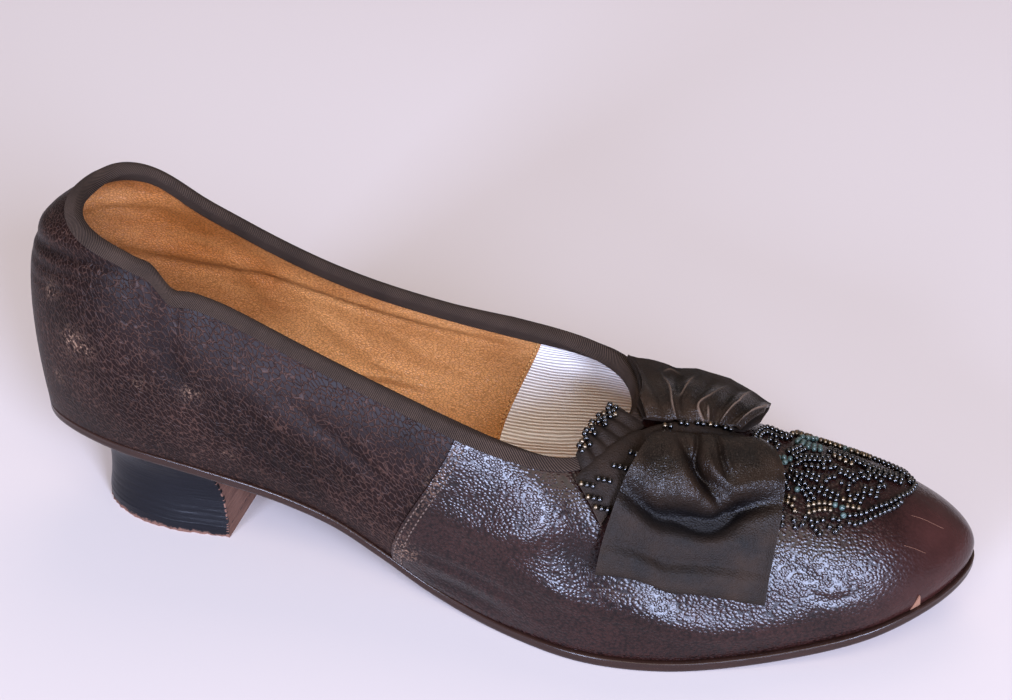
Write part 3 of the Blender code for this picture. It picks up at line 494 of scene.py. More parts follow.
def settled(grid, u):
    """The grid with its ridge, back and tip on the centre line and its foot on the sole."""
    grid[u >= THROAT, -1, 1] = 0.0
    grid[(u == 0) | (u == TIP), :, 1] = 0.0
    grid[:, 0, 2] = sole_under(grid[:, 0, 0]) + SOLE_THICKNESS + GAP
    return grid


patches = []
for u, side in ring(TIP, COLUMN_PITCH):
    v = np.linspace(0, 1, WALL_ROWS)[None]
    face = wall(u[:, None], v, side)
    outer = settled(skin(u[:, None], v, side, SEAM_LAP * (u > SEAM)[:, None]), u)
    inner = settled(skin(u[:, None], np.linspace(0, 1, HIDDEN_ROWS)[None], side, -KID), u)
    away = [np.linalg.norm(face - [row.x, row.y, row.z], axis=-1) / row.size for row in SCUFFS]
    scuffing = sum(row.strength * np.exp(-(off**2)) for row, off in zip(SCUFFS, away))
    edge = (np.linalg.norm(face - face[u == SEAM], axis=-1) - SEAM_WEAR_AT) / SEAM_WEAR_WIDTH
    scuffing = scuffing + SEAM_WEAR * (u > SEAM)[:, None] * np.exp(-(edge**2))
    marks = {
        "toe": smooth_step(*TOE_SMOOTH, face[..., 0]),
        # Painted shade mask: how deep each crease trough sinks.
        "crease_shading": np.clip(-0.8 * crease_height(CREASES, face, side), 0, 0.6),
        "scuffed": np.clip(scuffing, 0, 1),
    }
    for finish, part in enumerate((u <= SEAM, u >= SEAM)):
        patches.append(Patch(outer[part], None, {key: mark[part] for key, mark in marks.items()}, finish))
    open_u = u <= THROAT
    patches.append(Patch(inner[::-1]))
    patches += [strip(outer[:, 0], inner[:, 0]), strip(outer[open_u, -1], inner[open_u, -1])]
upper = make_piece("kid_upper", patches, kids, sharp=60)
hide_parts("upper")


# Linings
# Golden tan sheepskin lines the quarters and white ribbed cotton lines the vamp. They meet in a row of tan
# stitches inside, a little ahead of the outer seam, and are pasted to the back of the kid.
LINING_SEAM = 7.5
LINING_COLUMNS, LINING_ROWS, FOLD_LIMITS, PASTE = 1.3, 48, (-0.65, 2.0), 0.04
LINING_FOLDS = [
    Crease(FAR, 2.4, 1.1, ((1.15, 0.60), (1.95, 0.58), (3.3, 0.68), (4.8, 0.79), (6.1, 0.83), (7.0, 0.86))),
    Crease(FAR, 1.3, -1.2, ((1.0, 0.54), (1.95, 0.52), (3.3, 0.62), (4.8, 0.73), (6.1, 0.77), (7.0, 0.80))),
    Crease(FAR, 1.2, 0.7, ((5.4, 0.26), (5.8, 0.23), (6.2, 0.28), (6.6, 0.34))),
    Crease(FAR, 0.9, -0.6, ((5.5, 0.20), (5.9, 0.18), (6.3, 0.23), (6.7, 0.29))),
    Crease(FAR, 0.9, 0.5, ((5.9, 0.36), (6.3, 0.36), (6.7, 0.42))),
    Crease(FAR, 0.9, 0.45, ((0.6, 0.80), (1.2, 0.77), (1.9, 0.78))),
    Crease(FAR, 0.8, 0.4, ((0.9, 0.72), (1.4, 0.70), (2.0, 0.72))),
    Crease(FAR, 3.0, -0.7, ((7.6, 0.80), (8.4, 0.74), (9.2, 0.72), (10.0, 0.74))),
]


def lining_patches(first, last):
    """Closed sheet on each side of the shoe, from the kid's back in to the wall's depth and its folds."""
    patches = []
    v = np.linspace(0, 1, LINING_ROWS)[None]
    for side in (NEAR, FAR):
        u = fan(first, last, LINING_COLUMNS)
        folds = np.clip(crease_height(LINING_FOLDS, wall(u[:, None], v, side), side), *FOLD_LIMITS)
        inner = settled(skin(u[:, None], v, side, -WALL - folds), u)
        outer = settled(skin(u[:, None], v, side, -KID - PASTE), u)
        along = run_length(inner[:, LINING_ROWS // 2])[:, None]
        uv = np.stack(np.broadcast_arrays(along, run_length(inner, 1)), -1)
        open_u = u <= THROAT
        patches += [Patch(inner, uv), Patch(outer[::-1], uv[::-1]), strip(inner[:, 0], outer[:, 0])]
        patches.append(strip(inner[open_u, -1], outer[open_u, -1]))
        patches += [strip(inner[k], outer[k]) for k in (0, -1) if 0 < u[k] < TIP]
    return patches


# Vegetable-tanned sheepskin: golden, its fine grain drawn out along the shoe, smoother low down where it
# rubbed, and painted paler there as painted light against the shade deep inside the shoe
SHEEP_GRAIN, SHEEP_WRINKLE, SHEEP_CLOUD, SHEEP_STRETCH = 0.55, 2.4, 14.0, (1.7, 1.0, 0.8)
# Heights between which the lining turns smoother from rubbing and paler as painted light.
RUB_AND_LIGHT_START, RUB_AND_LIGHT_END = 62.0, 24.0
sheepskin = new_material("golden tan sheepskin", ior=LEATHER_IOR, specular_ior_level=0.3)
places = add_node(sheepskin, "TexCoord", out="Object")
laid = add_node(sheepskin, "Mapping", {"Vector": places, "Scale": SHEEP_STRETCH}, vector_type="TEXTURE")
cells = {"Vector": laid, "Scale": METRE / SHEEP_GRAIN}
edge = add_node(sheepskin, "TexVoronoi", cells, feature="DISTANCE_TO_EDGE")
grain = add_node(sheepskin, "MapRange", (edge, 0.0, 0.25), interpolation_type="SMOOTHSTEP")
wrinkle, cloud = [
    add_node(sheepskin, "TexNoise", {"Vector": laid, "Scale": METRE / size, "Detail": 3.0, "Distortion": 0.6})
    for size in (SHEEP_WRINKLE, SHEEP_CLOUD)
]
height = add_node(sheepskin, "Math", (grain, 0.35, wrinkle), operation="MULTIPLY_ADD")
relief = add_node(sheepskin, "Bump", {"Height": height, "Strength": 0.9, "Distance": 0.3 * MM})
level = add_node(sheepskin, "SeparateXYZ", (places,), "Z")
# Painted light: paler towards the bottom, where the lining sits in shade deep in the shoe; the same share
# makes it smoother, as rubbed.
rubbed_and_lit = add_node(sheepskin, "MapRange", (level, RUB_AND_LIGHT_START * MM, RUB_AND_LIGHT_END * MM, -0.2, 0.5))
tone_rub_and_light = add_node(sheepskin, "Math", (cloud, rubbed_and_lit), operation="ADD")
golden = add_node(sheepskin, "MixRGB", (tone_rub_and_light, "#8e4b14", "#d3965a"), use_clamp=True)
groove = add_node(sheepskin, "MapRange", (grain, 0.0, 1.0, 0.6, 1.08))
toned = add_node(sheepskin, "VectorMath", {0: golden, "Scale": groove}, operation="SCALE")
polish = add_node(sheepskin, "MapRange", (tone_rub_and_light, 0.3, 1.0, 0.5, 0.3))
set_shader(sheepskin, base_color=toned, roughness=polish, normal=relief)
quarter_lining = make_piece("quarter_lining", lining_patches(0, LINING_SEAM), [sheepskin], sharp=60)
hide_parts("upper")

# White cotton jean: fine raised ribs along the shoe, with old brown stains in scattered blots
RIB, RIB_WAVER, COTTON_WEAVE, COTTON_BLOT = 1.05, 12.0, 0.5, 7.0
cotton = new_material("white ribbed cotton", roughness=0.9)
places = add_node(cotton, "TexCoord", out="Object")
waver, weave, blot = [
    add_node(cotton, "TexNoise", {
        "Vector": places, "Scale": METRE / size, "Detail": detail, "Roughness": rough,
    })
    for size, detail, rough in ((RIB_WAVER, 2.0, 0.5), (COTTON_WEAVE, 1.0, 0.5), (COTTON_BLOT, 5.0, 0.6))
]
up = add_node(cotton, "SeparateXYZ", (add_node(cotton, "UVMap", uv_map="surface"),), "Y")
bent = add_node(cotton, "Math", (waver, 1.2, up), operation="MULTIPLY_ADD")
phase = add_node(cotton, "Math", (bent, 2 * np.pi / RIB), operation="MULTIPLY")
wave = add_node(cotton, "Math", (phase,), operation="SINE")
height = add_node(cotton, "Math", (weave, 0.8, wave), operation="MULTIPLY_ADD")
relief = add_node(cotton, "Bump", {"Height": height, "Strength": 0.8, "Distance": 0.12 * MM})
ribbed = add_node(cotton, "MapRange", (wave, -1.0, 0.4))
clean = add_node(cotton, "MixRGB", (ribbed, "#cfcac4", "#fbf9f6"))
stain = add_node(cotton, "MapRange", (blot, 0.66, 0.85, 0.0, 0.5))
# Brown stains here are real soiling.
stain_and_shade = add_node(cotton, "MixRGB", (stain, clean, "#b8925e"))
set_shader(cotton, base_color=stain_and_shade, normal=relief)
vamp_lining = make_piece("vamp_lining", lining_patches(LINING_SEAM, TIP), [cotton], sharp=60)
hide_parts("upper")


# Seam stitches
# Two rows of dark linen thread hold the vamp's turned edge over the quarter on each side, and one row of tan
# thread joins the linings inside. At the toe a scrap of the lower edge has torn and shows its raw tan flesh.
STITCH_PITCH, STITCH, STITCH_THICK = 1.5, 1.15, 0.5
SEAM_ROWS, SEAM_LOW, SEAM_HIGH = (0.8, 2.9), 0.05, 0.88
LINING_ROW, STITCH_PROUD, LINING_PROUD = -0.9, 0.05, 0.12


def along_string(path, pitch):
    """Places at an even pitch along a splined path, with the directions of the thread there."""
    line = splined(path, 200)
    run = run_length(line)
    at = np.linspace(0, run[-1], max(2, int(round(run[-1] / pitch)) + 1))
    places = np.stack([np.interp(at, run, line[:, k]) for k in range(line.shape[1])], -1)
    return places, to_unit(np.gradient(places, axis=0))


def torus(ring_steps, tube_steps, hole):
    """A bead of radius 1: a small circle carried round its thread, leaving a hole."""
    turn, tube = np.meshgrid(np.arange(ring_steps), np.arange(tube_steps), indexing="ij")
    a, b = 2 * np.pi * turn / ring_steps, 2 * np.pi * tube / tube_steps
    thick = (1 - hole) / 2
    reach = hole + thick + thick * np.cos(b)
    unit = np.stack([reach * np.cos(a), reach * np.sin(a), 0.8 * np.sin(b)], -1).reshape(-1, 3)
    ahead, over = (turn + 1) % ring_steps, (tube + 1) % tube_steps
    corners = [(turn, tube), (ahead, tube), (ahead, over), (turn, over)]
    return unit, np.stack([i * tube_steps + j for i, j in corners], -1).reshape(-1, 4)


def gathered(rows):
    """Centres, ways and ups of several rows, end to end."""
    return [np.concatenate([row[k] for row in rows]) for k in range(3)]


def scattered(name, rows, sizes, unit, quads, finish):
    """Joined copies of a unit shape scaled by its sizes, each turned so that z is its way and x its up."""
    centres, ways, ups = gathered(rows)
    ways = to_unit(ways)
    cross = to_unit(np.cross(ways, ups))
    frames = np.stack([np.cross(cross, ways), cross, ways], 1)
    points = centres[:, None] + np.einsum("ki,nij->nkj", unit * sizes, frames)
    faces = (quads[None] + len(unit) * np.arange(len(centres))[:, None, None]).reshape(-1, 4)
    mesh = bpy.data.meshes.new(name)
    mesh.from_pydata(swayed(points).reshape(-1, 3).tolist(), [], faces.tolist())
    mesh.shade_smooth()
    mesh.materials.append(finish)
    made = bpy.data.objects.new(name, mesh)
    bpy.context.scene.collection.objects.link(made)
    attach(made, "root")
    return made


def stitch_row(u, side, ahead, offset):
    """Stitches along a section of the wall, moved ahead along it by a distance and out by an offset."""
    v = np.linspace(SEAM_LOW, SEAM_HIGH, 24)
    pace = np.linalg.norm(wall(u + STEP, v, side) - wall(u, v, side), axis=-1) / STEP
    centres, ways = along_string(skin(u + ahead / pace, v, side, offset), STITCH_PITCH)
    return centres, ways, np.tile(wall_normal(u, 0.5, side), (len(centres), 1))


def sheet_patches(front, back, marks={}):
    """Closed sheet from its two faces: both grids and a strip along each of the four edges."""
    edges = [(grid[0], grid[-1], grid[:, 0], grid[:, -1]) for grid in (front, back)]
    rim = {key: (value[0], value[-1], value[:, 0], value[:, -1]) for key, value in marks.items()}
    strips = [
        Patch(np.stack(pair, 0), None, {key: values[k][None] for key, values in rim.items()})
        for k, pair in enumerate(zip(*edges))
    ]
    backing = Patch(back[::-1], None, {key: value[::-1] for key, value in marks.items()})
    return [Patch(front, None, marks), backing] + strips


# Waxed linen, dark outside, and tan inside
dark_thread = new_material("dark waxed linen thread", base_color="#4c3a2f", roughness=0.6)
tan_thread = new_material("tan linen thread", base_color="#b98a52", roughness=0.7)
unit, quads = torus(6, 4, 0.0)
stitch_size = (STITCH_THICK / 2, STITCH_THICK / 2, STITCH / 1.6)
outside = [
    stitch_row(SEAM + SEAM_STEP, side, ahead, SEAM_LAP + STITCH_PROUD)
    for side in (NEAR, FAR) for ahead in SEAM_ROWS
]
inside = [stitch_row(LINING_SEAM, side, LINING_ROW, -WALL - LINING_PROUD) for side in (NEAR, FAR)]
for name, rows, thread, slot in (
    ("vamp_stitches", outside, dark_thread, "kid_leather"),
    ("lining_stitches", inside, tan_thread, "lining_leather"),
):
    sewn = scattered(name, rows, stitch_size, unit, quads, thread)
    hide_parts("upper")

TEAR_X, TEAR_WIDTH, TEAR_FOOT, TEAR_HEIGHT = 232.0, 2.6, 0.01, 0.13
TEAR_CURL, TEAR_LEAN, TEAR_FACES = 0.4, 0.25, (0.12, -0.3)
raw_kid = new_material("raw tan flesh of torn kid", base_color="#7d5641", roughness=0.85)
numbers = np.linspace(THROAT, TIP, 200)
tear_u = np.interp(TEAR_X, mirrored_spline(column("foot_x"), numbers, 1), numbers)
pace = np.linalg.norm(wall(tear_u + STEP, 0.0, NEAR) - wall(tear_u, 0.0, NEAR)) / STEP
across, rise = np.linspace(-0.5, 0.5, 7)[:, None], np.linspace(0, 1, 10)[None]
u = tear_u + (across * TEAR_WIDTH * (1 - rise) + TEAR_LEAN * rise) / pace
curl = SEAM_LAP + TEAR_CURL * rise**2
flap, under = [skin(u, TEAR_FOOT + TEAR_HEIGHT * rise, NEAR, curl + lift) for lift in TEAR_FACES]
tear = make_piece("torn_edge", sheet_patches(flap, under), [raw_kid], sharp=60)
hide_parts("upper")

# Two scratches on the toe, one long and one short, drawn as thin raised lines of raw kid
SCRATCHES = [((15.30, 0.74), (15.65, 0.71), (16.05, 0.63)), ((14.80, 0.53), (15.00, 0.50), (15.20, 0.46))]
SCRATCH_WIDTH, SCRATCH_PITCH = 0.08, 0.5
scratch_size = (SCRATCH_WIDTH / 2, SCRATCH_WIDTH / 2, SCRATCH_PITCH)
rows = []
for path in SCRATCHES:
    plan, _ = along_string(path, 0.02)
    centres, ways = along_string(skin(*plan.T, NEAR, SEAM_LAP), SCRATCH_PITCH)
    rows.append((centres, ways, np.tile(wall_normal(*path[1], NEAR), (len(centres), 1))))
scratched = scattered("toe_scratches", rows, scratch_size, unit, quads, raw_kid)
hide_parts("upper")


# Topline binding
# Dark grey-brown twill tape, folded over the raw edge of kid and lining and sewn through, a little slack.
TAPE, TAPE_OUTSIDE, TAPE_INSIDE, TAPE_SLACK = 0.7, 2.6, 3.4, 0.5
TAPE_PITCH, TAPE_AROUND, TAPE_CLEAR = 1.0, 44, 0.1


def depth_to_v(u, side, depth):
    """Place v on each section at a distance down the wall, read off the summed length of its curve."""
    v = np.linspace(1, 0, 81)
    run = run_length(wall(u[:, None], v[None], side), 1)
    return np.array([np.interp(depth, along, v) for along in run])


def place_on_vamp(x, y, side):
    """Section u and place v of the vamp above a plan place: the nearest of a grid, then steps by slope."""
    grid_u, grid_v = np.meshgrid(np.linspace(SEAM, TIP, 60), np.linspace(0.15, 1, 34), indexing="ij")
    grid = wall(grid_u, grid_v, side).reshape(-1, 3)
    nearest = np.concatenate([
        np.hypot(grid[:, 0] - x[k : k + 2000, None], grid[:, 1] - y[k : k + 2000, None]).argmin(1)
        for k in range(0, len(x), 2000)
    ])
    u, v = grid_u.ravel()[nearest], grid_v.ravel()[nearest]
    step = 1e-4
    for _ in range(10):
        here = wall(u, v, side)
        du = (wall(np.minimum(u + step, TIP), v, side) - wall(u - step, v, side)) / (2 * step)
        dv = (here - wall(u, v - step, side)) / step
        miss_x, miss_y = x - here[:, 0], y - here[:, 1]
        cross = du[:, 0] * dv[:, 1] - du[:, 1] * dv[:, 0]
        cross = np.where(np.abs(cross) < 1e-3, np.inf, cross)
        u = np.clip(u + np.clip((miss_x * dv[:, 1] - miss_y * dv[:, 0]) / cross, -0.5, 0.5), SEAM, TIP)
        v = np.clip(v + np.clip((du[:, 0] * miss_y - du[:, 1] * miss_x) / cross, -0.1, 0.1), 0.02, 1)
    return u, v


def top_edge(u, side):
    """The wall's top edge, its outward direction, and the direction on past the edge, square to both."""
    edge = np.ones(len(u))
    normal = wall_normal(u, edge, side)
    tangent = wall(np.minimum(u, THROAT - 2 * STEP) + STEP, edge, side) - wall(u - STEP, edge, side)
    tangent = np.where((u > THROAT - STEP)[:, None], [0.0, -side, 0.0], tangent)
    return wall(u, edge, side), normal, to_unit(np.cross(normal, tangent) * -side)


def tape_section(u, side):
    """Points round the folded tape at each section: up its outer leg, over the edge, down inside and back."""
    top, normal, rise = top_edge(u, side)
    at_front, at_back = np.clip(u - BALL + 1, 0, 1), np.clip(2 - u, 0, 1)
    outer = SEAM_LAP * np.clip(2 * (u - SEAM) + 1, 0, 1) + TAPE_CLEAR
    inner = -(WALL + TAPE_CLEAR) - TAPE_SLACK * (at_front + at_back)

    def leg(depth, offset):
        down_wall = skin(u, depth_to_v(u, side, depth), side, offset)
        ahead = (top - depth * rise)[at_front > 0]
        share = at_front[at_front > 0][:, None]
        on_vamp = skin(*place_on_vamp(ahead[:, 0], ahead[:, 1], side), side, (offset + 0 * u)[at_front > 0])
        down_wall[at_front > 0] = (1 - share) * down_wall[at_front > 0] + share * on_vamp
        return down_wall

    def crest(offset, height):
        return top + np.asarray(offset)[:, None] * normal + height * rise

    crown = GAP + TAPE
    outside, inside = outer + TAPE, inner - TAPE
    edges = np.full(len(u), -0.2 * WALL), np.full(len(u), -0.8 * WALL)
    return np.stack([
        leg(TAPE_OUTSIDE, outside), leg(0.6 * TAPE_OUTSIDE, outside), leg(0.25 * TAPE_OUTSIDE, outside),
        crest(outer + 0.8 * TAPE, 0.3 * crown), crest(edges[0], crown),
        crest(edges[1], crown), crest(inner - 0.8 * TAPE, 0.3 * crown),
        leg(0.25 * TAPE_INSIDE, inside), leg(0.6 * TAPE_INSIDE, inside), leg(TAPE_INSIDE, inside),
        leg(TAPE_INSIDE, inner), leg(0.5 * TAPE_INSIDE, inner), crest(inner, 0), crest(outer, 0),
        leg(0.5 * TAPE_OUTSIDE, outer), leg(TAPE_OUTSIDE, outer),
    ], 1)


def rounded_ring(points, count):
    """Closed curve through each row of points: cubics with the slope of the neighbours' chord at each."""
    at = np.linspace(0, points.shape[1], count + 1)
    k = np.floor(at).astype(int)
    f = (at - k)[None, :, None]
    a, b, c, d = [np.take(points, k + step, 1, mode="wrap") for step in (-1, 0, 1, 2)]
    return 0.5 * (2 * b + (c - a) * f + (2 * a - 5 * b + 4 * c - d) * f**2 + (3 * b - a - 3 * c + d) * f**3)


halves = []
for u, side in ring(THROAT, TAPE_PITCH):
    section = tape_section(u, side)
    section[(u == 0) | (u == THROAT), :, 1] = 0.0
    halves.append(section)
section = rounded_ring(np.concatenate([halves[0], halves[1][1:]]), TAPE_AROUND)
uv = np.stack(np.meshgrid(run_length(section[:, 8]), run_length(section, 1).mean(0), indexing="ij"), -1)

# Cotton twill: slanting ribs, dusty brown-grey and dull. The rib is drawn a little coarse so that it shows
TWILL, TWILL_FUZZ, TWILL_DUST = 0.65, 0.45, 9.0
twill = new_material("dark cotton twill tape", roughness=0.9, specular_ior_level=0.15)
on_tape = add_node(twill, "UVMap", uv_map="surface")
ways = [add_node(twill, "SeparateXYZ", (on_tape,), way) for way in "XY"]
slant = add_node(twill, "Math", ways, operation="ADD")
phase = add_node(twill, "Math", (slant, 2 * np.pi / TWILL), operation="MULTIPLY")
rib = add_node(twill, "Math", (phase,), operation="SINE")
places = add_node(twill, "TexCoord", out="Object")
fuzz, dust = [
    add_node(twill, "TexNoise", {"Vector": places, "Scale": METRE / size, "Detail": detail})
    for size, detail in ((TWILL_FUZZ, 2.0), (TWILL_DUST, 4.0))
]
height = add_node(twill, "Math", (fuzz, 1.4, rib), operation="MULTIPLY_ADD")
relief = add_node(twill, "Bump", {"Height": height, "Strength": 0.9, "Distance": 0.12 * MM})
lit = add_node(twill, "MapRange", (rib, -1.0, 1.0))
thread = add_node(twill, "MixRGB", (lit, "#0d0806", "#46372d"))
dusty = add_node(twill, "MapRange", (dust, 0.3, 0.7, 0.75, 1.25))
toned = add_node(twill, "VectorMath", {0: thread, "Scale": dusty}, operation="SCALE")
set_shader(twill, base_color=toned, normal=relief)
binding = make_piece("topline_tape", [Patch(section, uv)], [twill], sharp=80)
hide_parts("topline_binding")


# Insole
# A sock of the same tan sheepskin pasted over the inner sole, from heel to toe.
INSOLE_THICKNESS, INSOLE_MARGIN, INSOLE_ACROSS = 1.6, WALL + 2 * GAP, 13


def sole_edge(u, margin):
    """Outline of a sole in plan, moved out from the foot line by a margin along its outward direction."""
    x, y, out_x, out_y = foot_line(u)
    x, y = x + margin * out_x, y + margin * out_y
    return x, np.where((u == 0) | (u == TIP), 0.0, y)


def across_sole(x, y, height, count):
    """Grid across a sole from its near edge to its far one, at a height over each place."""
    share = np.linspace(-1, 1, count)[None]
    return np.stack([x[:, None] + 0 * share, y[:, None] * share, height[:, None] + 0 * share], -1)


u = fan(0, TIP, 2.0)
x, y = sole_edge(u, -INSOLE_MARGIN)
low = sole_under(x) + SOLE_THICKNESS + GAP
top_face = across_sole(x, y, low + INSOLE_THICKNESS, INSOLE_ACROSS)
bottom_face = across_sole(x, y, low, INSOLE_ACROSS)
patches = [Patch(top_face), Patch(bottom_face[::-1])]
patches += [strip(top_face[:, k], bottom_face[:, k]) for k in (0, -1)]
sock = make_piece("insole_sock", patches, [sheepskin], sharp=50)
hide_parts("insole")


# Outsole
# A thin turned sole of oak-tanned leather. Its edge is trimmed, stained red-brown and burnished with a hot
# iron, and its tread is scuffed bare.
SOLE_PITCH, SOLE_ACROSS = 1.2, 15
SoleEdge = namedtuple("SoleEdge", "out height stain")
SOLE_EDGE = [
    SoleEdge(-1.2, 1.00, 1), SoleEdge(-0.35, 1.00, 1), SoleEdge(-0.05, 0.93, 1), SoleEdge(0.0, 0.82, 1),
    SoleEdge(-0.12, 0.70, 1), SoleEdge(-0.04, 0.52, 1), SoleEdge(-0.02, 0.34, 1), SoleEdge(-0.15, 0.16, 1),
    SoleEdge(-0.5, 0.04, 0.7), SoleEdge(-1.1, 0.0, 0),
]
u = fan(0, TIP, SOLE_PITCH)
welt = mirrored_spline(column("welt"), u, 1)
edge = []
for point in SOLE_EDGE:
    x, y = sole_edge(u, welt + point.out)
    edge.append(np.stack([x, -y, sole_under(x) + SOLE_THICKNESS * point.height], -1))
edge = np.stack(edge, 1)
share = np.linspace(0, 1, SOLE_ACROSS)[None, :, None]
mirror = edge * [1, -1, 1]
top_face = (1 - share) * edge[:, :1] + share * mirror[:, :1]
bottom_face = (1 - share) * edge[:, -1:] + share * mirror[:, -1:]
layers_up = column("height", SOLE_EDGE) * SOLE_THICKNESS
edge_uv = np.stack(np.meshgrid(run_length(edge[:, 5, :2]), layers_up, indexing="ij"), -1)

# Oak-bark leather: the cut edge shows fine layers under wax, the tread is rubbed grey-brown
SOLE_LAYERS, SOLE_BLOTCH = (120.0, 120.0, 2200.0), 11.0
oak = new_material("burnished sole leather", ior=LEATHER_IOR, specular_ior_level=0.3)
places = add_node(oak, "TexCoord", out="Object")
layers = add_node(oak, "Mapping", {"Vector": places, "Scale": SOLE_LAYERS})
fibre = add_node(oak, "TexNoise", {"Vector": layers, "Scale": 1.0, "Detail": 3.0})
blotch = add_node(oak, "TexNoise", {"Vector": places, "Scale": METRE / SOLE_BLOTCH, "Detail": 5.0})
on_edge = add_node(oak, "Attribute", out="Fac", attribute_name="edge")
stained = add_node(oak, "MixRGB", (fibre, "#180e0b", "#2c1a14"))
bare = add_node(oak, "MixRGB", (blotch, "#4a3022", "#a07c5c"))
toned = add_node(oak, "MixRGB", (on_edge, bare, stained))
wax = add_node(oak, "MapRange", (on_edge, 0.0, 1.0, 0.75, 0.24))
height = add_node(oak, "Math", (fibre, blotch), operation="ADD")
relief = add_node(oak, "Bump", {"Height": height, "Strength": 0.5, "Distance": 0.15 * MM})
set_shader(oak, base_color=toned, roughness=wax, normal=relief)
on_side = {"edge": column("stain", SOLE_EDGE)[None]}
patches = [Patch(edge, edge_uv, on_side), Patch(mirror[::-1], edge_uv[::-1], on_side)]
patches += [Patch(top_face, None, {"edge": 1.0}), Patch(bottom_face[::-1], None, {"edge": 0.0})]
sole = make_piece("turned_outsole", patches, [oak], sharp=60)
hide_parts("outsole")


# Louis heel
# A stack of leather lifts carved to a waist and painted black, with a raw brown breast. The bottom lift, the
# top piece, is worn brown and frayed along its edge.
TOP_PIECE, HEEL_ROUND_LENGTH = 3.0, 26.0
HeelLevel = namedtuple("HeelLevel", "rise rear_x breast_x half_width breast_half_width")
HEEL_LEVELS = [
    HeelLevel(0.00, 22.0, 60.5, 15.8, 15.0),
    HeelLevel(0.25, 22.8, 60.0, 15.0, 14.2),
    HeelLevel(0.50, 23.0, 59.0, 14.6, 13.8),
    HeelLevel(0.75, 21.6, 57.0, 15.4, 14.6),
    HeelLevel(1.00, 16.0, 54.5, 17.8, 17.2),
]
HEEL_ROWS, HEEL_BACK, HEEL_SIDE, HEEL_BREAST = 60, 36, 14, 21
LIFTS = (0.02, 0.09, 0.17, 0.26)
LIFT_GROOVE, LIFT_WIDTH = 0.06, 0.012


def heel_ring(rise):
    """Near half of the heel's plan at each share of its height: a quarter ellipse, then a straight side."""
    sizes = [
        spline(column("rise", HEEL_LEVELS), column(name, HEEL_LEVELS), rise)[:, None]
        for name in ("rear_x", "breast_x", "half_width", "breast_half_width")
    ]
    rear, breast, half, breast_half = sizes
    turn = np.radians(np.linspace(0, 90, HEEL_BACK))[None]
    share = np.linspace(0, 1, HEEL_SIDE)[None, 1:]
    front = rear + HEEL_ROUND_LENGTH
    x = np.concatenate([rear + HEEL_ROUND_LENGTH * (1 - np.cos(turn)), front + share * (breast - front)], 1)
    y = np.concatenate([half * np.sin(turn), half + share * (breast_half - half)], 1)
    return x, y


def heel_patches(near, flank, bottom, top):
    """Closed block from its near flank: the flank, its mirror, the breast between them and both caps, each
    with its share of bare leather."""
    far = near * [1, -1, 1]
    share = np.linspace(0, 1, HEEL_BREAST)[None, :, None]
    rims = zip(*[(half[:, -1:], half[0][:, None], half[-1][:, None]) for half in (near, far)])
    grids = [near, far[::-1]] + [(1 - share) * first + share * second for first, second in rims]
    return [Patch(grid, None, {"bare": bare}) for grid, bare in zip(grids, (flank, flank, 1.0, bottom, top))]


HEEL_MIDDLE, HEEL_SEAT = 44.0, 0.05
rise = np.linspace(0, 1, HEEL_ROWS)
x, y = heel_ring(rise)
base = TOP_PIECE + HEEL_SEAT
z = base + (sole_under(x) - HEEL_SEAT - base) * rise[:, None]
groove = sum(np.exp(-(((rise - lift) / LIFT_WIDTH) ** 2)) for lift in LIFTS)[:, None] * LIFT_GROOVE
reach = np.hypot(x - HEEL_MIDDLE, y)
x, y = x - groove * (x - HEEL_MIDDLE) / reach, y - groove * y / reach
near = np.stack([x, -y, z], -1)

# Black shoemaker's paint over leather edges on the flanks; bare rasped leather on the breast
HEEL_LAYERS, PAINT_CHIP = (90.0, 90.0, 1500.0), 1.6
blacking = new_material("blackened heel leather", ior=LEATHER_IOR, specular_ior_level=0.14)
places = add_node(blacking, "TexCoord", out="Object")
layers = add_node(blacking, "Mapping", {"Vector": places, "Scale": HEEL_LAYERS})
fibre = add_node(blacking, "TexNoise", {"Vector": layers, "Scale": 1.0, "Detail": 4.0})
flecks = {"Vector": places, "Scale": METRE / PAINT_CHIP, "Detail": 4.0, "Roughness": 0.7}
chips = add_node(blacking, "TexNoise", flecks)
bare = add_node(blacking, "Attribute", out="Fac", attribute_name="bare")
ragged = add_node(blacking, "Math", (chips, 1.1, bare), operation="MULTIPLY_ADD")
showing = add_node(blacking, "MapRange", (ragged, 0.95, 1.2), interpolation_type="SMOOTHSTEP")
paint = add_node(blacking, "MixRGB", (fibre, "#08080b", "#131317"))
raw = add_node(blacking, "MixRGB", (fibre, "#3a2420", "#7d5b4c"))
toned = add_node(blacking, "MixRGB", (showing, paint, raw))
sheen = add_node(blacking, "MapRange", (showing, 0.0, 1.0, 0.36, 0.85))
height = add_node(blacking, "Math", (chips, 0.5, fibre), operation="MULTIPLY_ADD")
relief = add_node(blacking, "Bump", {"Height": height, "Strength": 0.55, "Distance": 0.2 * MM})
set_shader(blacking, base_color=toned, roughness=sheen, normal=relief)
heel = make_piece("louis_heel", heel_patches(near, 0.0, 0.0, 0.0), [blacking], sharp=40)
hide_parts("heel")

TOP_PIECE_ROWS, FRAY = 9, 0.125
x, y = heel_ring(np.zeros(TOP_PIECE_ROWS))
level = np.linspace(0, 1, TOP_PIECE_ROWS)[:, None]
angle = np.arctan2(y, x - HEEL_MIDDLE)
fray = FRAY * (np.sin(37 * angle) + np.sin(61 * angle + 2) + np.sin(97 * angle + 5)) * (1 - level) ** 2
reach = np.hypot(x - HEEL_MIDDLE, y)
x, y = x + fray * (x - HEEL_MIDDLE) / reach, y + fray * y / reach
y[:, 0] = 0.0
near = np.stack([x, -y, TOP_PIECE * level + 0 * x], -1)
lift = make_piece(
    "heel_top_lift", heel_patches(near, 0.75 * (1 - level) ** 1.5, 1.0, 0.0), [blacking], sharp=40
)
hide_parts("heel_top_piece")


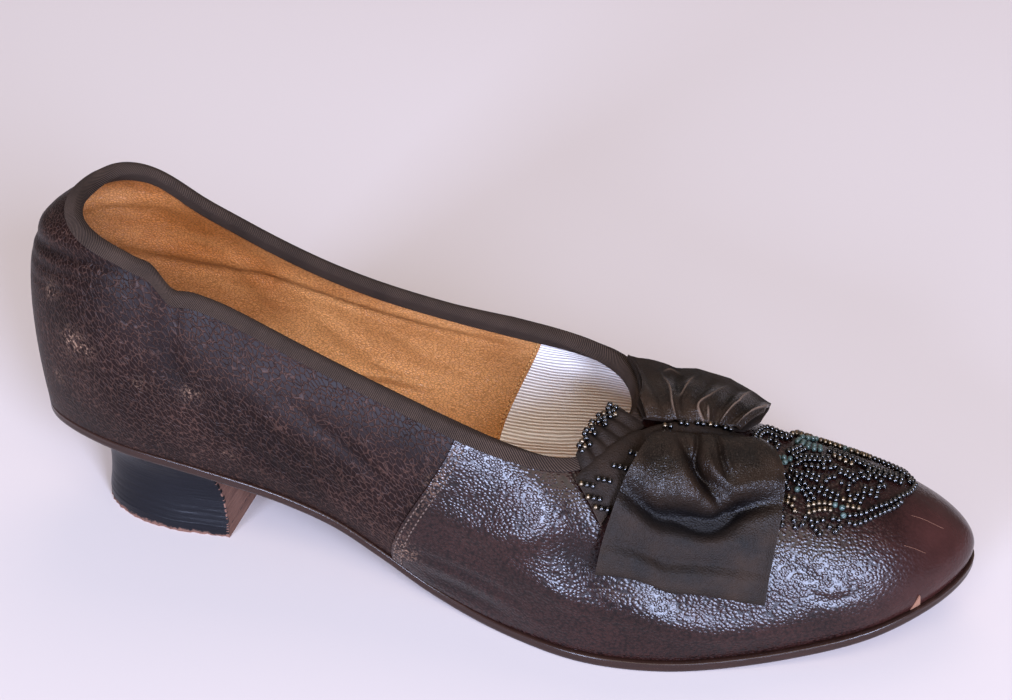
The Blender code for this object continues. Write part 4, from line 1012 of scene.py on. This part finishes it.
# Leather bow
# A ribbon of thin taupe kid, sewn flat over the vamp: two loops that puff up from the knot, fold at their
# ends and come back underneath. It was pressed in its box, so its pleats have set and their edges rubbed.
BOW_LEATHER, BOW_UNDER = 0.7, 0.45
KNOT_BACK, KNOT_FRONT, KNOT_Y, KNOT_SKEW, KNOT_HALF_WIDTH = 167.3, 188.0, -4.0, 0.28, 3.2
LOOP_ROWS, FOLD_ROWS, UNDER_ROWS, LOOP_ACROSS = 90, 12, 14, 100
LOOP_WIDTH, NEAR_LENGTH, FAR_LENGTH, SMOOTHING = 34.0, 30.0, 17.0, 9
VAMP_HALF_WIDTH, VAMP_RISE, VAMP_FALL = 36.0, 46.0, 0.2
LOOP_LEAST, RIM_DROP, RIM_WIDTH, UNDER_END, PUFF_END = 1.2, 0.5, 1.2, 0.06, (0.55, 0.8)
# The depth at the end of this line scales the painted shade in the fold troughs.
EDGE_RUB, EDGE_RUB_WIDTH, RUB_SHARE, TROUGH_SHADE_DEPTH = 0.4, 0.4, 0.7, 3.0
Fold = namedtuple("Fold", "width height rub places")
LoopPlan = namedtuple("LoopPlan", "share back_x front_x height")
EndRise = namedtuple("EndRise", "across rise")
NEAR_LOOP = [
    LoopPlan(0.00, 167.5, 187.0, 3.8),
    LoopPlan(0.08, 166.6, 190.6, 6.4),
    LoopPlan(0.20, 165.6, 194.2, 8.0),
    LoopPlan(0.35, 164.6, 197.0, 8.4),
    LoopPlan(0.50, 163.4, 198.4, 7.6),
    LoopPlan(0.62, 162.7, 198.8, 6.2),
    LoopPlan(0.76, 161.9, 198.8, 4.6),
    LoopPlan(0.90, 160.9, 198.6, 3.8),
    LoopPlan(1.00, 160.3, 198.5, 3.5),
]
NEAR_END_Y, NEAR_LIFT, NEAR_RISE = (-35.8, -28.6), 0.2, [EndRise(0.0, 0.0), EndRise(1.0, 0.0)]
NEAR_FOLDS = [
    Fold(2.2, -4.8, 0.0, (
        (-0.10, 0.53), (0.15, 0.66), (0.37, 0.69), (0.53, 0.72), (0.63, 0.70), (0.72, 0.63), (0.84, 0.58),
        (1.1, 0.53),
    )),
    Fold(1.6, 0.9, 0.0, (
        (-0.05, 0.66), (0.18, 0.77), (0.43, 0.80), (0.60, 0.82), (0.80, 0.80), (1.05, 0.78),
    )),
    Fold(5.0, 1.4, 0.0, ((-0.10, 0.36), (0.20, 0.44), (0.37, 0.54), (0.52, 0.60))),
    Fold(1.3, -2.6, 0.0, ((0.24, 0.12), (0.42, 0.40), (0.55, 0.53), (0.68, 0.66))),
    Fold(1.4, 0.8, 0.0, ((0.20, 0.22), (0.34, 0.44), (0.50, 0.60))),
    Fold(0.9, -2.0, 0.0, ((0.43, 0.00), (0.40, 0.25), (0.44, 0.40), (0.58, 0.49), (0.72, 0.60))),
    Fold(1.0, 0.9, 0.35, ((0.47, 0.22), (0.53, 0.41), (0.66, 0.52))),
    Fold(0.7, -1.0, 0.0, ((0.58, 0.06), (0.58, 0.30), (0.64, 0.46))),
    Fold(0.7, 0.5, 0.3, ((0.61, 0.12), (0.61, 0.30), (0.66, 0.44))),
    Fold(1.7, 1.4, 0.0, ((0.64, 0.55), (0.80, 0.50), (1.05, 0.48))),
    Fold(1.0, 0.5, 0.0, ((0.10, 0.06), (0.16, 0.24), (0.20, 0.36))),
    Fold(3.5, -0.5, 0.0, ((0.05, 0.86), (0.40, 0.85), (0.75, 0.88))),
    Fold(0.8, -0.7, 0.0, ((-0.1, 0.93), (0.4, 0.93), (1.1, 0.93))),
    Fold(0.9, 0.6, 0.0, ((-0.1, 0.985), (0.5, 0.985), (1.1, 0.985))),
]
FAR_LOOP = [
    LoopPlan(0.00, 164.5, 186.0, 3.2),
    LoopPlan(0.12, 163.1, 187.6, 4.2),
    LoopPlan(0.30, 161.0, 190.0, 4.4),
    LoopPlan(0.52, 159.0, 190.5, 3.6),
    LoopPlan(0.75, 156.8, 191.0, 2.8),
    LoopPlan(1.00, 155.0, 187.5, 2.2),
]
FAR_END_Y, FAR_LIFT = (15.0, 17.3), 1.2
FAR_RISE = [EndRise(0.0, 0.0), EndRise(0.25, 2.0), EndRise(0.5, 4.6), EndRise(0.75, 4.9), EndRise(1.0, 3.2)]
FAR_FOLDS = [
    Fold(0.6, 0.8, 0.9, ((0.20, 0.80), (0.24, 0.45), (0.25, 0.15), (0.33, -0.05))),
    Fold(0.7, 0.5, 0.7, ((0.20, 0.72), (0.30, 0.90), (0.38, 0.75))),
    Fold(0.6, 0.8, 0.8, ((0.46, 0.85), (0.37, 0.50), (0.29, 0.20))),
    Fold(0.6, 0.9, 0.9, ((0.72, 0.80), (0.56, 0.36), (0.48, 0.15), (0.58, 0.0), (0.67, -0.08))),
    Fold(0.6, 0.7, 0.8, ((0.55, 0.22), (0.60, 0.08), (0.67, -0.05))),
    Fold(0.6, 0.9, 1.0, ((0.86, 0.85), (0.78, 0.30), (0.76, -0.05))),
    Fold(0.6, 0.9, 1.0, ((1.05, 0.66), (0.97, 0.30), (0.93, -0.05))),
    Fold(1.2, -1.0, 0.0, ((0.35, 0.95), (0.33, 0.45), (0.38, 0.05))),
    Fold(1.2, -1.0, 0.0, ((0.60, 0.90), (0.50, 0.50), (0.40, 0.20))),
    Fold(1.3, -1.0, 0.0, ((0.80, 0.90), (0.68, 0.36), (0.70, 0.02))),
    Fold(1.3, -1.0, 0.0, ((0.96, 0.85), (0.87, 0.30), (0.84, 0.0))),
    Fold(1.6, -0.7, 0.0, ((0.10, 0.90), (0.14, 0.40), (0.20, 0.0))),
]


def knot_line(x):
    """Straight centre line of the knot in plan, askew to the shoe."""
    return KNOT_Y + KNOT_SKEW * (x - (KNOT_BACK + KNOT_FRONT) / 2)


def over_vamp(x, y):
    """Points on the vamp above places in plan, with a soft outward direction: square to an ellipse of the
    vamp's half width and height, leaning forward with the ridge."""
    x, y = np.broadcast_arrays(np.asarray(x, float), np.asarray(y, float))
    face = np.empty((x.size, 3))
    for side in (NEAR, FAR):
        chosen = np.where(y.ravel() <= 0, NEAR, FAR) == side
        if chosen.any():
            face[chosen] = wall(*place_on_vamp(x.ravel()[chosen], y.ravel()[chosen], side), side)
    out = face / [1.0, VAMP_HALF_WIDTH**2, VAMP_RISE**2]
    out[:, 0] = VAMP_FALL * out[:, 2]
    out = to_unit(out)
    face += SEAM_LAP * out
    return face.reshape(*x.shape, 3), out.reshape(*x.shape, 3)


def averaged(grid, count):
    """Moving average across a grid, its two ends carried on along their own slope."""
    reach = count // 2
    before = 2 * grid[:, :1] - grid[:, reach:0:-1]
    after = 2 * grid[:, -1:] - grid[:, -2 : -2 - reach : -1]
    padded = np.concatenate([before, grid, after], 1)
    return sum(padded[:, k : k + grid.shape[1]] for k in range(count)) / count


def bow_loop(name, plan, end_y, rises, side, lift, length, folds):
    """A band out along the top by the table's heights plus its folds, round a half circle, and back below."""
    across = np.linspace(0, 1, LOOP_ACROSS)[None]
    share = np.linspace(0, 1, LOOP_ROWS)[:, None]
    height = spline(column("share", plan), column("height", plan), share) + 0 * across
    cells = np.stack(np.broadcast_arrays(across * LOOP_WIDTH, share * length), -1)
    worn, trough_shade = np.zeros_like(height), np.zeros_like(height)
    for fold in folds:
        path = np.array(fold.places) * [LOOP_WIDTH, length]
        bell = bell_along(cells, path, fold.width)
        # Painted shade: the deeper a fold sinks, the darker its trough is painted.
        height, trough_shade = height + fold.height * bell, np.maximum(trough_shade, -fold.height / TROUGH_SHADE_DEPTH * bell)
        if fold.rub:
            worn = np.maximum(worn, fold.rub * bell_along(cells, path, RUB_SHARE * fold.width))
    height = np.maximum(height, BOW_UNDER + LOOP_LEAST)
    rim = np.minimum(across, 1 - across) * LOOP_WIDTH
    height = height - RIM_DROP * np.exp(-((rim / RIM_WIDTH) ** 2))
    turn = np.linspace(0, np.pi, FOLD_ROWS)[1:-1, None]
    half = (height[-1:] - BOW_UNDER) / 2
    end = 1 - half / length
    rise = np.interp(across, column("across", rises), column("rise", rises))
    below = np.linspace(1, UNDER_END, UNDER_ROWS)[:, None]
    faces = []
    for inset in (0.0, BOW_LEATHER):
        radius = half - inset
        along = np.concatenate([share * end, end + radius * np.sin(turn) / length, below * end])
        up = np.concatenate([
            height - inset, BOW_UNDER + half + radius * np.cos(turn), BOW_UNDER + inset + 0 * below * end,
        ])
        back_x, front_x = [
            np.interp(along, column("share", plan), column(key, plan)) for key in ("back_x", "front_x")
        ]
        x = back_x + across * (front_x - back_x)
        start = knot_line(x) + side * KNOT_HALF_WIDTH / 2
        y = start + along * (end_y[0] + across * (end_y[1] - end_y[0]) - start)
        face, out = over_vamp(x, y)
        faces.append(averaged(face, SMOOTHING) + (up + lift + along * rise)[..., None] * out)
    rest = np.zeros((len(faces[0]) - LOOP_ROWS, LOOP_ACROSS))
    puffed = 1 - smooth_step(*PUFF_END, share) + 0 * across
    marks = {
        "worn": np.concatenate([np.maximum(worn, EDGE_RUB * np.exp(-((rim / EDGE_RUB_WIDTH) ** 2))), rest]),
        "trough_shade": np.concatenate([np.clip(trough_shade, 0, 1), rest]),
        "puffed": np.concatenate([puffed, rest]),
    }
    return make_piece(name, sheet_patches(faces[0], faces[1], marks), [taupe], sharp=70)


# Thin kid dyed taupe over tan: a faint silvery sheen on the rounds, brown in the flats, painted shade
# near-black in the deep fold troughs, and cream lines where the dye has gone from the pleats
TAUPE_GRAIN, TAUPE_WRINKLE, TAUPE_CLOUD = 0.6, 2.2, 9.0
taupe = new_material("thin taupe kid leather", ior=LEATHER_IOR, specular_ior_level=0.17)
places = add_node(taupe, "TexCoord", out="Object")
cells = {"Vector": places, "Scale": METRE / TAUPE_GRAIN}
grain = add_node(taupe, "TexVoronoi", cells, feature="DISTANCE_TO_EDGE")
wrinkle, cloud = [
    add_node(taupe, "TexNoise", {
        "Vector": places, "Scale": METRE / size, "Detail": 4.0, "Roughness": 0.6, "Distortion": swirl,
    })
    for size, swirl in ((TAUPE_WRINKLE, 1.0), (TAUPE_CLOUD, 0.0))
]
worn, trough_shade, puffed = [
    add_node(taupe, "Attribute", out="Fac", attribute_name=name) for name in ("worn", "trough_shade", "puffed")
]
tone = add_node(taupe, "MapRange", (cloud, 0.3, 0.7))
dye = add_node(taupe, "MixRGB", (tone, "#0f0b08", "#241911"))
# Painted shade: the deep fold troughs are mixed towards near-black.
stain_and_shade = add_node(taupe, "MixRGB", (trough_shade, dye, "#050303"))
pale = add_node(taupe, "MapRange", (worn, 0.3, 0.95, 0.0, 0.5), interpolation_type="SMOOTHSTEP")
toned = add_node(taupe, "MixRGB", (pale, stain_and_shade, "#7d6858"))
height = add_node(taupe, "Math", (grain, 0.8, wrinkle), operation="MULTIPLY_ADD")
relief = add_node(taupe, "Bump", {"Height": height, "Strength": 0.9, "Distance": 0.3 * MM})
flat = add_node(taupe, "MapRange", (puffed, 0.0, 1.0, 0.6, 0.2))
polish = add_node(taupe, "Math", (cloud, 0.15, flat), operation="MULTIPLY_ADD")
set_shader(taupe, base_color=toned, roughness=polish, normal=relief)

near_loop = bow_loop(
    "bow_near_loop", NEAR_LOOP, NEAR_END_Y, NEAR_RISE, NEAR, NEAR_LIFT, NEAR_LENGTH, NEAR_FOLDS
)
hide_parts("bow_loop_near")
far_loop = bow_loop("bow_far_loop", FAR_LOOP, FAR_END_Y, FAR_RISE, FAR, FAR_LIFT, FAR_LENGTH, FAR_FOLDS)
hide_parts("bow_loop_far")

# The strap comes out from under the near loop as a folded tail, crosses it and wraps the middle as the knot
StrapPlan = namedtuple("StrapPlan", "x y half_width height crown")
STRAP = [
    StrapPlan(156.4, -29.3, 4.2, 2.2, 0.2),
    StrapPlan(159.2, -24.4, 4.4, 2.6, 0.4),
    StrapPlan(162.2, -19.0, 4.4, 3.1, 0.6),
    StrapPlan(165.2, -13.6, 3.8, 3.4, 0.8),
    StrapPlan(168.4, -8.8, 2.8, 3.6, 0.9),
    StrapPlan(173.0, -4.8, 1.8, 3.8, 0.8),
    StrapPlan(178.0, -2.8, 1.6, 3.6, 0.8),
    StrapPlan(183.6, -1.4, 1.6, 2.9, 0.8),
    StrapPlan(188.6, -0.2, 1.6, 1.5, 0.5),
]
STRAP_ROWS, STRAP_ACROSS, STRAP_THICK = 90, 25, 1.1
STRAP_DROP, STRAP_TWIST, STRAP_TURN = 0.4, 0.25, 9.0
STRAP_EDGE_RUB, STRAP_END_RUB, STRAP_END = 0.55, 0.45, 0.012
steps = np.linspace(0, 1, STRAP_ROWS)
x, y, half, height, crown = splined(STRAP, STRAP_ROWS).T[..., None]
across = np.linspace(-1, 1, STRAP_ACROSS)[None]
way_x, way_y = np.gradient(x[:, 0])[:, None], np.gradient(y[:, 0])[:, None]
way = np.hypot(way_x, way_y)
strap_x, strap_y = x + across * half * way_y / way, y - across * half * way_x / way
twist = STRAP_TWIST * np.sin(STRAP_TURN * steps)[:, None]
strap_up = height - crown * across**2 - STRAP_DROP * across**8 + twist * across
face, out = over_vamp(strap_x, strap_y)
front, back = face + strap_up[..., None] * out, face + (strap_up - STRAP_THICK)[..., None] * out
rubbed_edge = STRAP_EDGE_RUB * np.abs(across) ** 14
rubbed_end = STRAP_END_RUB * np.exp(-((steps / STRAP_END) ** 2))[:, None]
marks = {"worn": np.maximum(rubbed_edge, rubbed_end)}
strap = make_piece("bow_strap", sheet_patches(front, back, marks), [taupe], sharp=70)
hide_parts("bow_knot", "bow_tail")


# Throat ruche
# Small leather petals gathered along the near half of the throat, over the tape, with beads along their rim.
PETALS, PETAL_AHEAD, RUCHE_ROWS, RUCHE_ACROSS = 5, 3.0, 120, 12
PETAL_FOOT, PETAL_REACH, PETAL_PROUD, PETAL_SPREAD = 2.2, 2.8, 2.6, 1.4
SCALLOP, PETAL_PUFF, PETAL_GATHER, PETAL_LEATHER, PETAL_RUB = 2.0, 0.9, 0.6, 0.6, 0.5
share = np.linspace(0, 1, RUCHE_ROWS)
u = BALL + 0.1 + share * (THROAT - BALL - 0.5)
top, normal, rise = top_edge(u, NEAR)
scallop = np.abs(np.sin(np.pi * PETALS * share))
reach = (PETAL_REACH + SCALLOP * scallop) * smooth_step(-0.25, 0.45, share)
gather = 0.5 + 0.5 * np.cos(2 * np.pi * PETALS * share)
out = np.linspace(0, 1, RUCHE_ACROSS)[None]
ahead = top - PETAL_AHEAD * rise
on_vamp = skin(*place_on_vamp(ahead[:, 0], ahead[:, 1], NEAR), NEAR, PETAL_FOOT)
proud = PETAL_PROUD + PETAL_SPREAD * smooth_step(0, 0.5, share)
rim = top + proud[:, None] * normal + reach[:, None] * rise
puff = PETAL_PUFF * np.sin(np.pi * out) * scallop[:, None] - PETAL_GATHER * gather[:, None] * out
front = (1 - out[..., None]) * on_vamp[:, None] + out[..., None] * rim[:, None]
front = front + puff[..., None] * normal[:, None]
back = front - PETAL_LEATHER * normal[:, None]
marks = {"worn": PETAL_RUB * out**8 + 0 * share[:, None]}
ruche = make_piece("throat_ruche", sheet_patches(front, back, marks), [taupe], sharp=70)
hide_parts("throat_petals")


# Beadwork
# Cut jet, gilt brass and sea-green glass beads, threaded in short strings and couched to the vamp in a
# pointed leaf, along the rim of the ruche and in small groups on the bow's strap.
BEAD, BEAD_PITCH, RIM_PITCH, ROW_GAP, BEAD_SUNK, CROWDED = 1.5, 1.34, 1.44, 1.4, 0.45, 0.8
RING_STEPS, TUBE_STEPS, BEAD_HOLE = 10, 6, 0.04
String = namedtuple("String", "glass mirrored places")
LEAF_STRINGS = [
    String("jet", True, (
        (228.5, 3.6), (227.5, -0.2), (225.8, -2.6), (222.9, -6.2), (220.4, -8.2), (217.7, -10.6),
        (214.4, -12.2),
    )),
    String("jet", True, (
        (227.0, 1.6), (225.9, -3.9), (224.1, -6.9), (221.8, -9.0), (219.6, -10.9), (216.6, -13.2),
        (214.6, -13.6),
    )),
    String("jet", False, (
        (207.6, 7.4), (211.0, 6.7), (214.4, 6.0), (218.2, 4.6), (221.4, 4.6), (225.0, 4.9),
    )),
    String("jet", False, ((218.4, 3.2), (222.4, 3.2), (225.4, 3.2), (228.0, 4.4))),
    String("brass", False, ((208.3, 5.7), (211.2, 4.6), (213.3, 4.0), (216.4, 3.0))),
    String("brass", False, ((208.8, 4.2), (211.0, 3.2), (213.0, 2.6))),
    String("green", False, ((213.0, 4.9), (215.6, 4.3), (217.2, 3.9))),
    String("jet", True, (
        (190.1, 0.0), (189.8, 4.1), (190.9, 8.2), (192.4, 10.2), (194.7, 9.2), (197.9, 8.5),
    )),
    String("jet", True, (
        (190.3, -1.5), (191.3, -0.1), (190.9, 3.5), (192.2, 6.8), (194.2, 6.0), (197.0, 6.4),
    )),
    String("jet", False, ((192.2, 0.9), (192.3, -1.4), (193.4, -3.4), (193.2, -5.6))),
    String("jet", False, ((193.4, 3.4), (195.2, 2.6), (195.4, 0.9), (194.4, -0.7))),
    String("green", False, ((194.2, -6.7), (194.9, -4.4), (196.5, -2.6), (198.8, -2.2))),
    String("green", False, ((195.4, -7.1), (196.4, -5.5), (197.8, -3.7))),
    String("green", False, ((198.7, 8.0), (200.5, 7.0), (202.6, 6.4), (205.0, 6.6))),
    String("green", False, ((199.6, 6.2), (201.6, 5.2), (203.3, 4.7), (205.2, 5.2))),
    String("jet", False, ((198.1, 0.4), (199.2, 2.0), (200.5, 4.0))),
    String("jet", False, ((199.5, -2.4), (201.0, -0.2), (204.0, 1.2), (207.3, 2.6))),
    String("jet", False, ((200.7, -2.4), (203.4, -1.2), (206.6, -0.6))),
    String("jet", False, ((199.5, -4.2), (201.6, -4.2), (203.7, -4.6), (206.0, -5.0))),
    String("jet", False, ((198.7, -5.8), (201.5, -7.0), (203.5, -8.4), (205.7, -10.9))),
    String("jet", False, ((197.0, -6.9), (198.3, -8.5), (199.6, -10.4))),
    String("jet", False, ((203.4, -6.2), (205.8, -7.1), (208.2, -8.0), (211.0, -8.4))),
    String("jet", False, ((206.6, -5.2), (207.2, -3.9), (208.8, -2.8))),
    String("jet", False, ((208.3, 0.6), (210.0, -0.6), (212.6, -0.8), (214.8, -2.2))),
    String("jet", False, ((208.6, -6.2), (210.8, -6.2))),
    String("jet", False, ((211.4, -5.0), (213.2, -5.0))),
    String("jet", False, ((214.2, -6.4), (216.8, -7.2))),
    String("jet", False, ((216.9, -4.2), (219.9, -4.4))),
    String("jet", False, ((217.6, 0.2), (219.8, -0.1), (221.2, -1.8))),
    String("jet", False, ((215.4, 0.2), (217.0, 1.4))),
    String("brass", True, ((204.8, -12.9), (207.4, -11.6), (209.6, -11.1))),
    String("brass", True, ((205.2, -14.3), (207.8, -12.9), (209.9, -12.4))),
    String("green", True, ((210.8, -11.0), (212.6, -11.2), (213.0, -12.6))),
    String("brass", True, ((212.4, -9.2), (215.0, -8.9), (217.0, -9.0))),
    String("brass", True, ((213.6, -10.4), (216.2, -10.0))),
    String("brass", True, ((198.0, -10.9), (199.5, -12.2), (201.4, -12.4))),
    String("brass", True, ((198.8, -13.6), (200.8, -13.7), (202.0, -14.8))),
    String("green", True, ((200.4, -9.6), (202.4, -10.6), (203.6, -12.2))),
    String("jet", True, ((198.9, -15.3), (199.4, -16.5), (199.7, -18.0))),
    String("jet", True, ((202.2, -16.6), (203.2, -18.2), (204.2, -16.8))),
    String("jet", True, ((204.6, -15.3), (206.7, -15.6), (208.6, -14.8))),
    String("jet", True, ((206.4, -16.4), (208.4, -17.4))),
    String("jet", True, ((208.8, -14.2), (210.3, -15.6))),
    String("jet", True, ((210.8, -13.9), (212.4, -13.9), (212.6, -15.2), (211.8, -16.0))),
]
LEAF_BACK, LEAF_TIP, LEAF_SKEW = 196.5, 228.5, 3.0
StrapBeads = namedtuple("StrapBeads", "x y glass")
STRAP_BEADS = [
    StrapBeads(155.7, -27.3, ("brass", "jet", "jet")), StrapBeads(157.7, -28.6, ("brass", "jet", "jet")),
    StrapBeads(159.7, -29.3, ("brass", "jet", "jet")), StrapBeads(159.1, -25.0, ("jet", "jet", "jet")),
    StrapBeads(161.8, -21.2, ("jet", "jet", "jet")), StrapBeads(164.6, -16.7, ("jet", "jet", "jet")),
    StrapBeads(168.0, -9.8, ("jet", "jet")), StrapBeads(169.6, -6.9, ("brass", "jet")),
    StrapBeads(173.0, -4.8, ("jet", "jet")), StrapBeads(176.6, -3.2, ("jet", "jet")),
    StrapBeads(179.5, -2.1, ("brass", "jet")), StrapBeads(183.0, -1.4, ("jet", "jet")),
]
STRAP_WAY = (0.97, 0.24)

# Pressed black glass, gilt brass gone brown, and scratched sea-green glass
JET_IOR, GLASS_IOR = 1.7, 1.5
jet = new_material("jet black glass", base_color="#040405", roughness=0.05, ior=JET_IOR)
brass = new_material("tarnished gilt brass", metallic=1.0)
green = new_material("sea green glass", ior=GLASS_IOR)
for finish, size, low, high, smooth, dull in (
    (brass, 1.5, "#3a3128", "#8c7d68", 0.42, 0.25), (green, 2.2, "#172b2a", "#4d5d56", 0.12, 0.4),
):
    places = add_node(finish, "TexCoord", out="Object")
    cloud = add_node(finish, "TexNoise", {"Vector": places, "Scale": METRE / size, "Detail": 2.0})
    tint = add_node(finish, "MixRGB", (cloud, low, high))
    haze = add_node(finish, "MapRange", (cloud, 0.3, 0.7, smooth, dull))
    set_shader(finish, base_color=tint, roughness=haze)
FINISHES = {"jet": jet, "brass": brass, "green": green}

# The leaf: border strings are worked the same on both sides of its axis, and loose jet strings lie in pairs
plans, glasses = [], []
for thread in LEAF_STRINGS:
    path = np.array(thread.places)
    axis = LEAF_SKEW * (path[:, 0] - LEAF_BACK) / (LEAF_TIP - LEAF_BACK)
    paths = [path]
    if thread.mirrored:
        paths.append(np.stack([path[:, 0], 2 * axis - path[:, 1]], -1))
    elif thread.glass == "jet":
        way = to_unit(np.gradient(path, axis=0))
        paths.append(path + ROW_GAP * np.stack([way[:, 1], -way[:, 0]], -1))
    for path in paths:
        plan, way = along_string(path, BEAD_PITCH)
        plans.append(np.hstack([plan, way]))
        glasses += [thread.glass] * len(plan)
plans = np.concatenate(plans)
face, out = over_vamp(plans[:, 0], plans[:, 1])
groups = [(face + BEAD_SUNK * BEAD * out, np.column_stack([plans[:, 2:], 0 * plans[:, 0]]), out)]
# Rim of the ruche: two rows of jet with gilt beads among them
for inset, skip in ((0.0, 5), (1.5, 6)):
    line = rim + (0.4 - 0.15 * inset) * normal - inset * rise
    centres, ways = along_string(line[8:-4:6], RIM_PITCH)
    ups = np.stack([np.interp(np.linspace(0, 1, len(centres)), share, normal[:, k]) for k in range(3)], -1)
    groups.append((centres, ways, ups))
    glasses += np.where(np.arange(len(centres)) % skip == 1, "brass", "jet").tolist()
# Groups of two or three along the strap, set on its own height
for row in STRAP_BEADS:
    place = np.arange(len(row.glass)) - (len(row.glass) - 1) / 2
    x, y = row.x + BEAD_PITCH * place * STRAP_WAY[0], row.y + BEAD_PITCH * place * STRAP_WAY[1]
    nearest = np.hypot(strap_x.ravel()[:, None] - x, strap_y.ravel()[:, None] - y).argmin(0)
    face, out = over_vamp(x, y)
    centres = face + (strap_up.ravel()[nearest] + BEAD_SUNK * BEAD)[:, None] * out
    groups.append((centres, np.gradient(centres, axis=0), out))
    glasses += row.glass
centres, ways, ups = gathered(groups)
crowded = np.triu(np.linalg.norm(centres[:, None] - centres[None], axis=-1) < CROWDED * BEAD, 1).any(0)
unit, quads = torus(RING_STEPS, TUBE_STEPS, BEAD_HOLE)
for glass, finish in FINISHES.items():
    chosen = (np.array(glasses) == glass) & ~crowded
    rows = [(centres[chosen], ways[chosen], ups[chosen])]
    sewn = scattered(glass + "_beads", rows, BEAD / 2, unit, quads, finish)
    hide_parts("vamp_beadwork")


# Floor, light and camera
# A pale paper sweep lit by two tall panes on the near side, a wide skylight above them and a dim ceiling
# behind, seen by a camera at the height and angle of the photograph.
paper = new_material("pale paper", base_color="#c9c2c0", roughness=0.7)
FLOOR = 3.0
mesh = bpy.data.meshes.new("paper_floor")
corners = [(-FLOOR, -FLOOR, 0), (FLOOR, -FLOOR, 0), (FLOOR, FLOOR, 0), (-FLOOR, FLOOR, 0)]
mesh.from_pydata(corners, [], [(0, 1, 2, 3)])
mesh.materials.append(paper)
floor = bpy.data.objects.new("paper_floor", mesh)
bpy.context.scene.collection.objects.link(floor)

Lamp = namedtuple("Lamp", "name place aim width height power colour")
LAMPS = [
    Lamp("left pane", (-0.72, -2.5, 0.56), (0, 0, 0.03), 0.60, 0.80, 130.0, "#cbd8ff"),
    Lamp("right pane", (1.56, -1.96, 0.92), (0, 0, 0.03), 0.62, 1.30, 155.0, "#cbd8ff"),
    Lamp("skylight", (0.5, -2.5, 3.1), (0, 0, 0.03), 4.0, 2.5, 108.0, "#fff0e2"),
    Lamp("ceiling", (0.0, 1.5, 2.2), (0, 0.5, 0), 1.8, 1.8, 16.0, "#ffdccb"),
]
for lamp in LAMPS:
    light = bpy.data.lights.new(lamp.name, "AREA")
    light.shape, light.size, light.size_y = "RECTANGLE", lamp.width, lamp.height
    light.energy, light.color = lamp.power, hex_colour(lamp.colour)[:3]
    made = bpy.data.objects.new(lamp.name, light)
    made.location = lamp.place
    made.rotation_euler = (Vector(lamp.aim) - Vector(lamp.place)).to_track_quat("-Z", "Y").to_euler()
    bpy.context.scene.collection.objects.link(made)
ROOM_COLOUR, ROOM_STRENGTH = "#f2ecec", 0.28
world = bpy.data.worlds.new("room")
world.use_nodes = True
background = world.node_tree.nodes["Background"].inputs
background["Color"].default_value = hex_colour(ROOM_COLOUR)
background["Strength"].default_value = ROOM_STRENGTH
bpy.context.scene.world = world

IMAGE_WIDTH, FOCAL_PIXELS, SENSOR = 1012, 1800.0, 36.0
AZIMUTH, ELEVATION, ROLL, DISTANCE = radians(14.0), radians(31.9), radians(0.7), 430.0
AIM = (129.5 - CENTRE_X, -CENTRE_Y, 59.1)
toward = Vector((sin(AZIMUTH) * cos(ELEVATION), -cos(AZIMUTH) * cos(ELEVATION), sin(ELEVATION)))
level = (-toward).cross(Vector((0, 0, 1))).normalized()
upright = level.cross(-toward)
right = cos(ROLL) * level + sin(ROLL) * upright
top = cos(ROLL) * upright - sin(ROLL) * level
lens = bpy.data.cameras.new("camera")
lens.sensor_width, lens.lens = SENSOR, FOCAL_PIXELS * SENSOR / IMAGE_WIDTH
lens.clip_start = 0.01
camera = bpy.data.objects.new("camera", lens)
placing = Matrix((right, top, toward)).transposed().to_4x4()
placing.translation = (Vector(AIM) + DISTANCE * toward) * MM
camera.matrix_world = placing
bpy.context.scene.collection.objects.link(camera)
bpy.context.scene.camera = camera
bpy.context.scene.view_settings.view_transform = "Standard"
